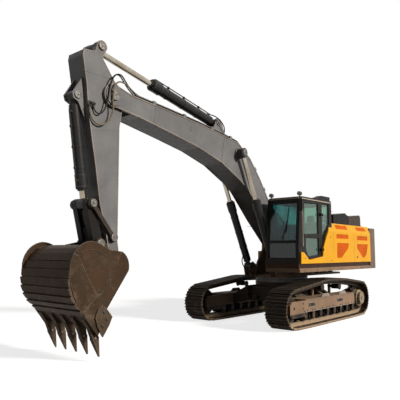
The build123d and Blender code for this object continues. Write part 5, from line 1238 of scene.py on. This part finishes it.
shoe_bolts()
boom_pieces()
arm_pieces()
cylinder_pieces()
bucket_pieces()
track_pieces()
house_pieces()
cab_pieces()
seat_pieces()
hose_pieces()


# Studio


def light(name, kind, place, target, energy, colour=(1, 1, 1), **settings):
    """A lamp at a place, turned towards a target."""
    data = bpy.data.lights.new(name, kind)
    data.energy = energy
    data.color = colour
    for key, value in settings.items():
        setattr(data, key, value)
    lamp = bpy.data.objects.new(name, data)
    bpy.context.scene.collection.objects.link(lamp)
    lamp.location = place
    lamp.rotation_euler = (Vector(target) - Vector(place)).to_track_quat("-Z", "Y").to_euler()
    return lamp


def seen_or_mirrored(tree):
    """A share that is 1 for rays from the camera, in gloss and through glass."""
    path = tree.nodes.new("ShaderNodeLightPath")
    total = path.outputs["Is Camera Ray"]
    for output in ("Is Glossy Ray", "Is Transmission Ray"):
        larger = tree.nodes.new("ShaderNodeMath")
        larger.operation = "MAXIMUM"
        tree.links.new(total, larger.inputs[0])
        tree.links.new(path.outputs[output], larger.inputs[1])
        total = larger.outputs[0]
    return total


def pale_floor():
    """A floor that shows white with the object's soft shadow, and gives back little light."""
    material = bpy.data.materials.new("pale_floor")
    material.use_nodes = True
    tree = material.node_tree
    shader = tree.nodes["Principled BSDF"]
    shader.inputs["Roughness"].default_value = 0.95
    shader.inputs["Specular IOR Level"].default_value = 0.0
    total = seen_or_mirrored(tree)
    tone = tree.nodes.new("ShaderNodeMix")
    tone.data_type = "RGBA"
    tree.links.new(total, tone.inputs[0])
    tone.inputs[6].default_value = (0.16, 0.14, 0.12, 1)
    tone.inputs[7].default_value = (0.45, 0.45, 0.45, 1)
    tree.links.new(tone.outputs[2], shader.inputs["Base Color"])
    shader.inputs["Emission Color"].default_value = (1, 1, 1, 1)
    glow = tree.nodes.new("ShaderNodeMath")
    glow.operation = "MULTIPLY"
    tree.links.new(total, glow.inputs[0])
    glow.inputs[1].default_value = 0.78
    tree.links.new(glow.outputs[0], shader.inputs["Emission Strength"])
    return material


def studio():
    """A pale floor, a world that is white to the camera and in gloss, and plain lamps."""
    size = 60.0
    floor_mesh = bpy.data.meshes.new("floor")
    corners = [(-size, -size, 0), (size, -size, 0), (size, size, 0), (-size, size, 0)]
    floor_mesh.from_pydata(corners, [], [(0, 1, 2, 3)])
    floor = bpy.data.objects.new("floor", floor_mesh)
    bpy.context.scene.collection.objects.link(floor)
    floor.location.z = -0.001
    floor_mesh.materials.append(pale_floor())

    world = bpy.data.worlds.new("studio")
    bpy.context.scene.world = world
    world.use_nodes = True
    tree = world.node_tree
    tree.nodes.clear()
    total = seen_or_mirrored(tree)
    white = tree.nodes.new("ShaderNodeBackground")
    white.inputs["Color"].default_value = (1, 1, 1, 1)
    white.inputs["Strength"].default_value = 1.0
    fill = tree.nodes.new("ShaderNodeBackground")
    fill.inputs["Color"].default_value = (0.90, 0.94, 1.0, 1)
    fill.inputs["Strength"].default_value = 0.06
    mix = tree.nodes.new("ShaderNodeMixShader")
    tree.links.new(total, mix.inputs[0])
    tree.links.new(fill.outputs[0], mix.inputs[1])
    tree.links.new(white.outputs[0], mix.inputs[2])
    out = tree.nodes.new("ShaderNodeOutputWorld")
    tree.links.new(mix.outputs[0], out.inputs[0])

    target = (1.5, 0, 2.0)
    light("sun", "SUN", (-2.5, 14.0, 9.0), target, 3.7, (1.0, 0.95, 0.88), angle=math.radians(8))
    light("front_fill", "AREA", (16, 2, 7), target, 30.0, (0.92, 0.96, 1.0), size=8.0)


def camera():
    """The camera from its place, heading, tilt and roll; its centre pixel gives the shift."""
    heading, tilt, roll = CAMERA_HEADING, CAMERA_TILT, CAMERA_ROLL
    view = Vector((math.cos(tilt) * math.cos(heading), math.cos(tilt) * math.sin(heading), math.sin(tilt)))
    right = Vector((math.sin(heading), -math.cos(heading), 0))
    up = right.cross(view)
    turned_right = right * math.cos(roll) + up * math.sin(roll)
    turned_up = up * math.cos(roll) - right * math.sin(roll)
    data = bpy.data.cameras.new("camera")
    data.sensor_width = SENSOR_WIDTH
    data.lens = SENSOR_WIDTH * FOCAL_PIXELS / IMAGE_WIDTH
    data.shift_x = (IMAGE_WIDTH / 2 - CENTRE_PIXEL[0]) / IMAGE_WIDTH
    data.shift_y = (CENTRE_PIXEL[1] - IMAGE_WIDTH / 2) / IMAGE_WIDTH
    data.clip_end = 200
    eye = bpy.data.objects.new("camera", data)
    bpy.context.scene.collection.objects.link(eye)
    axes = Matrix((turned_right, turned_up, -view)).transposed()
    eye.matrix_world = Matrix.Translation(CAMERA_PLACE) @ axes.to_4x4()
    bpy.context.scene.camera = eye


studio()
camera()
bpy.context.scene.view_settings.view_transform = "Standard"
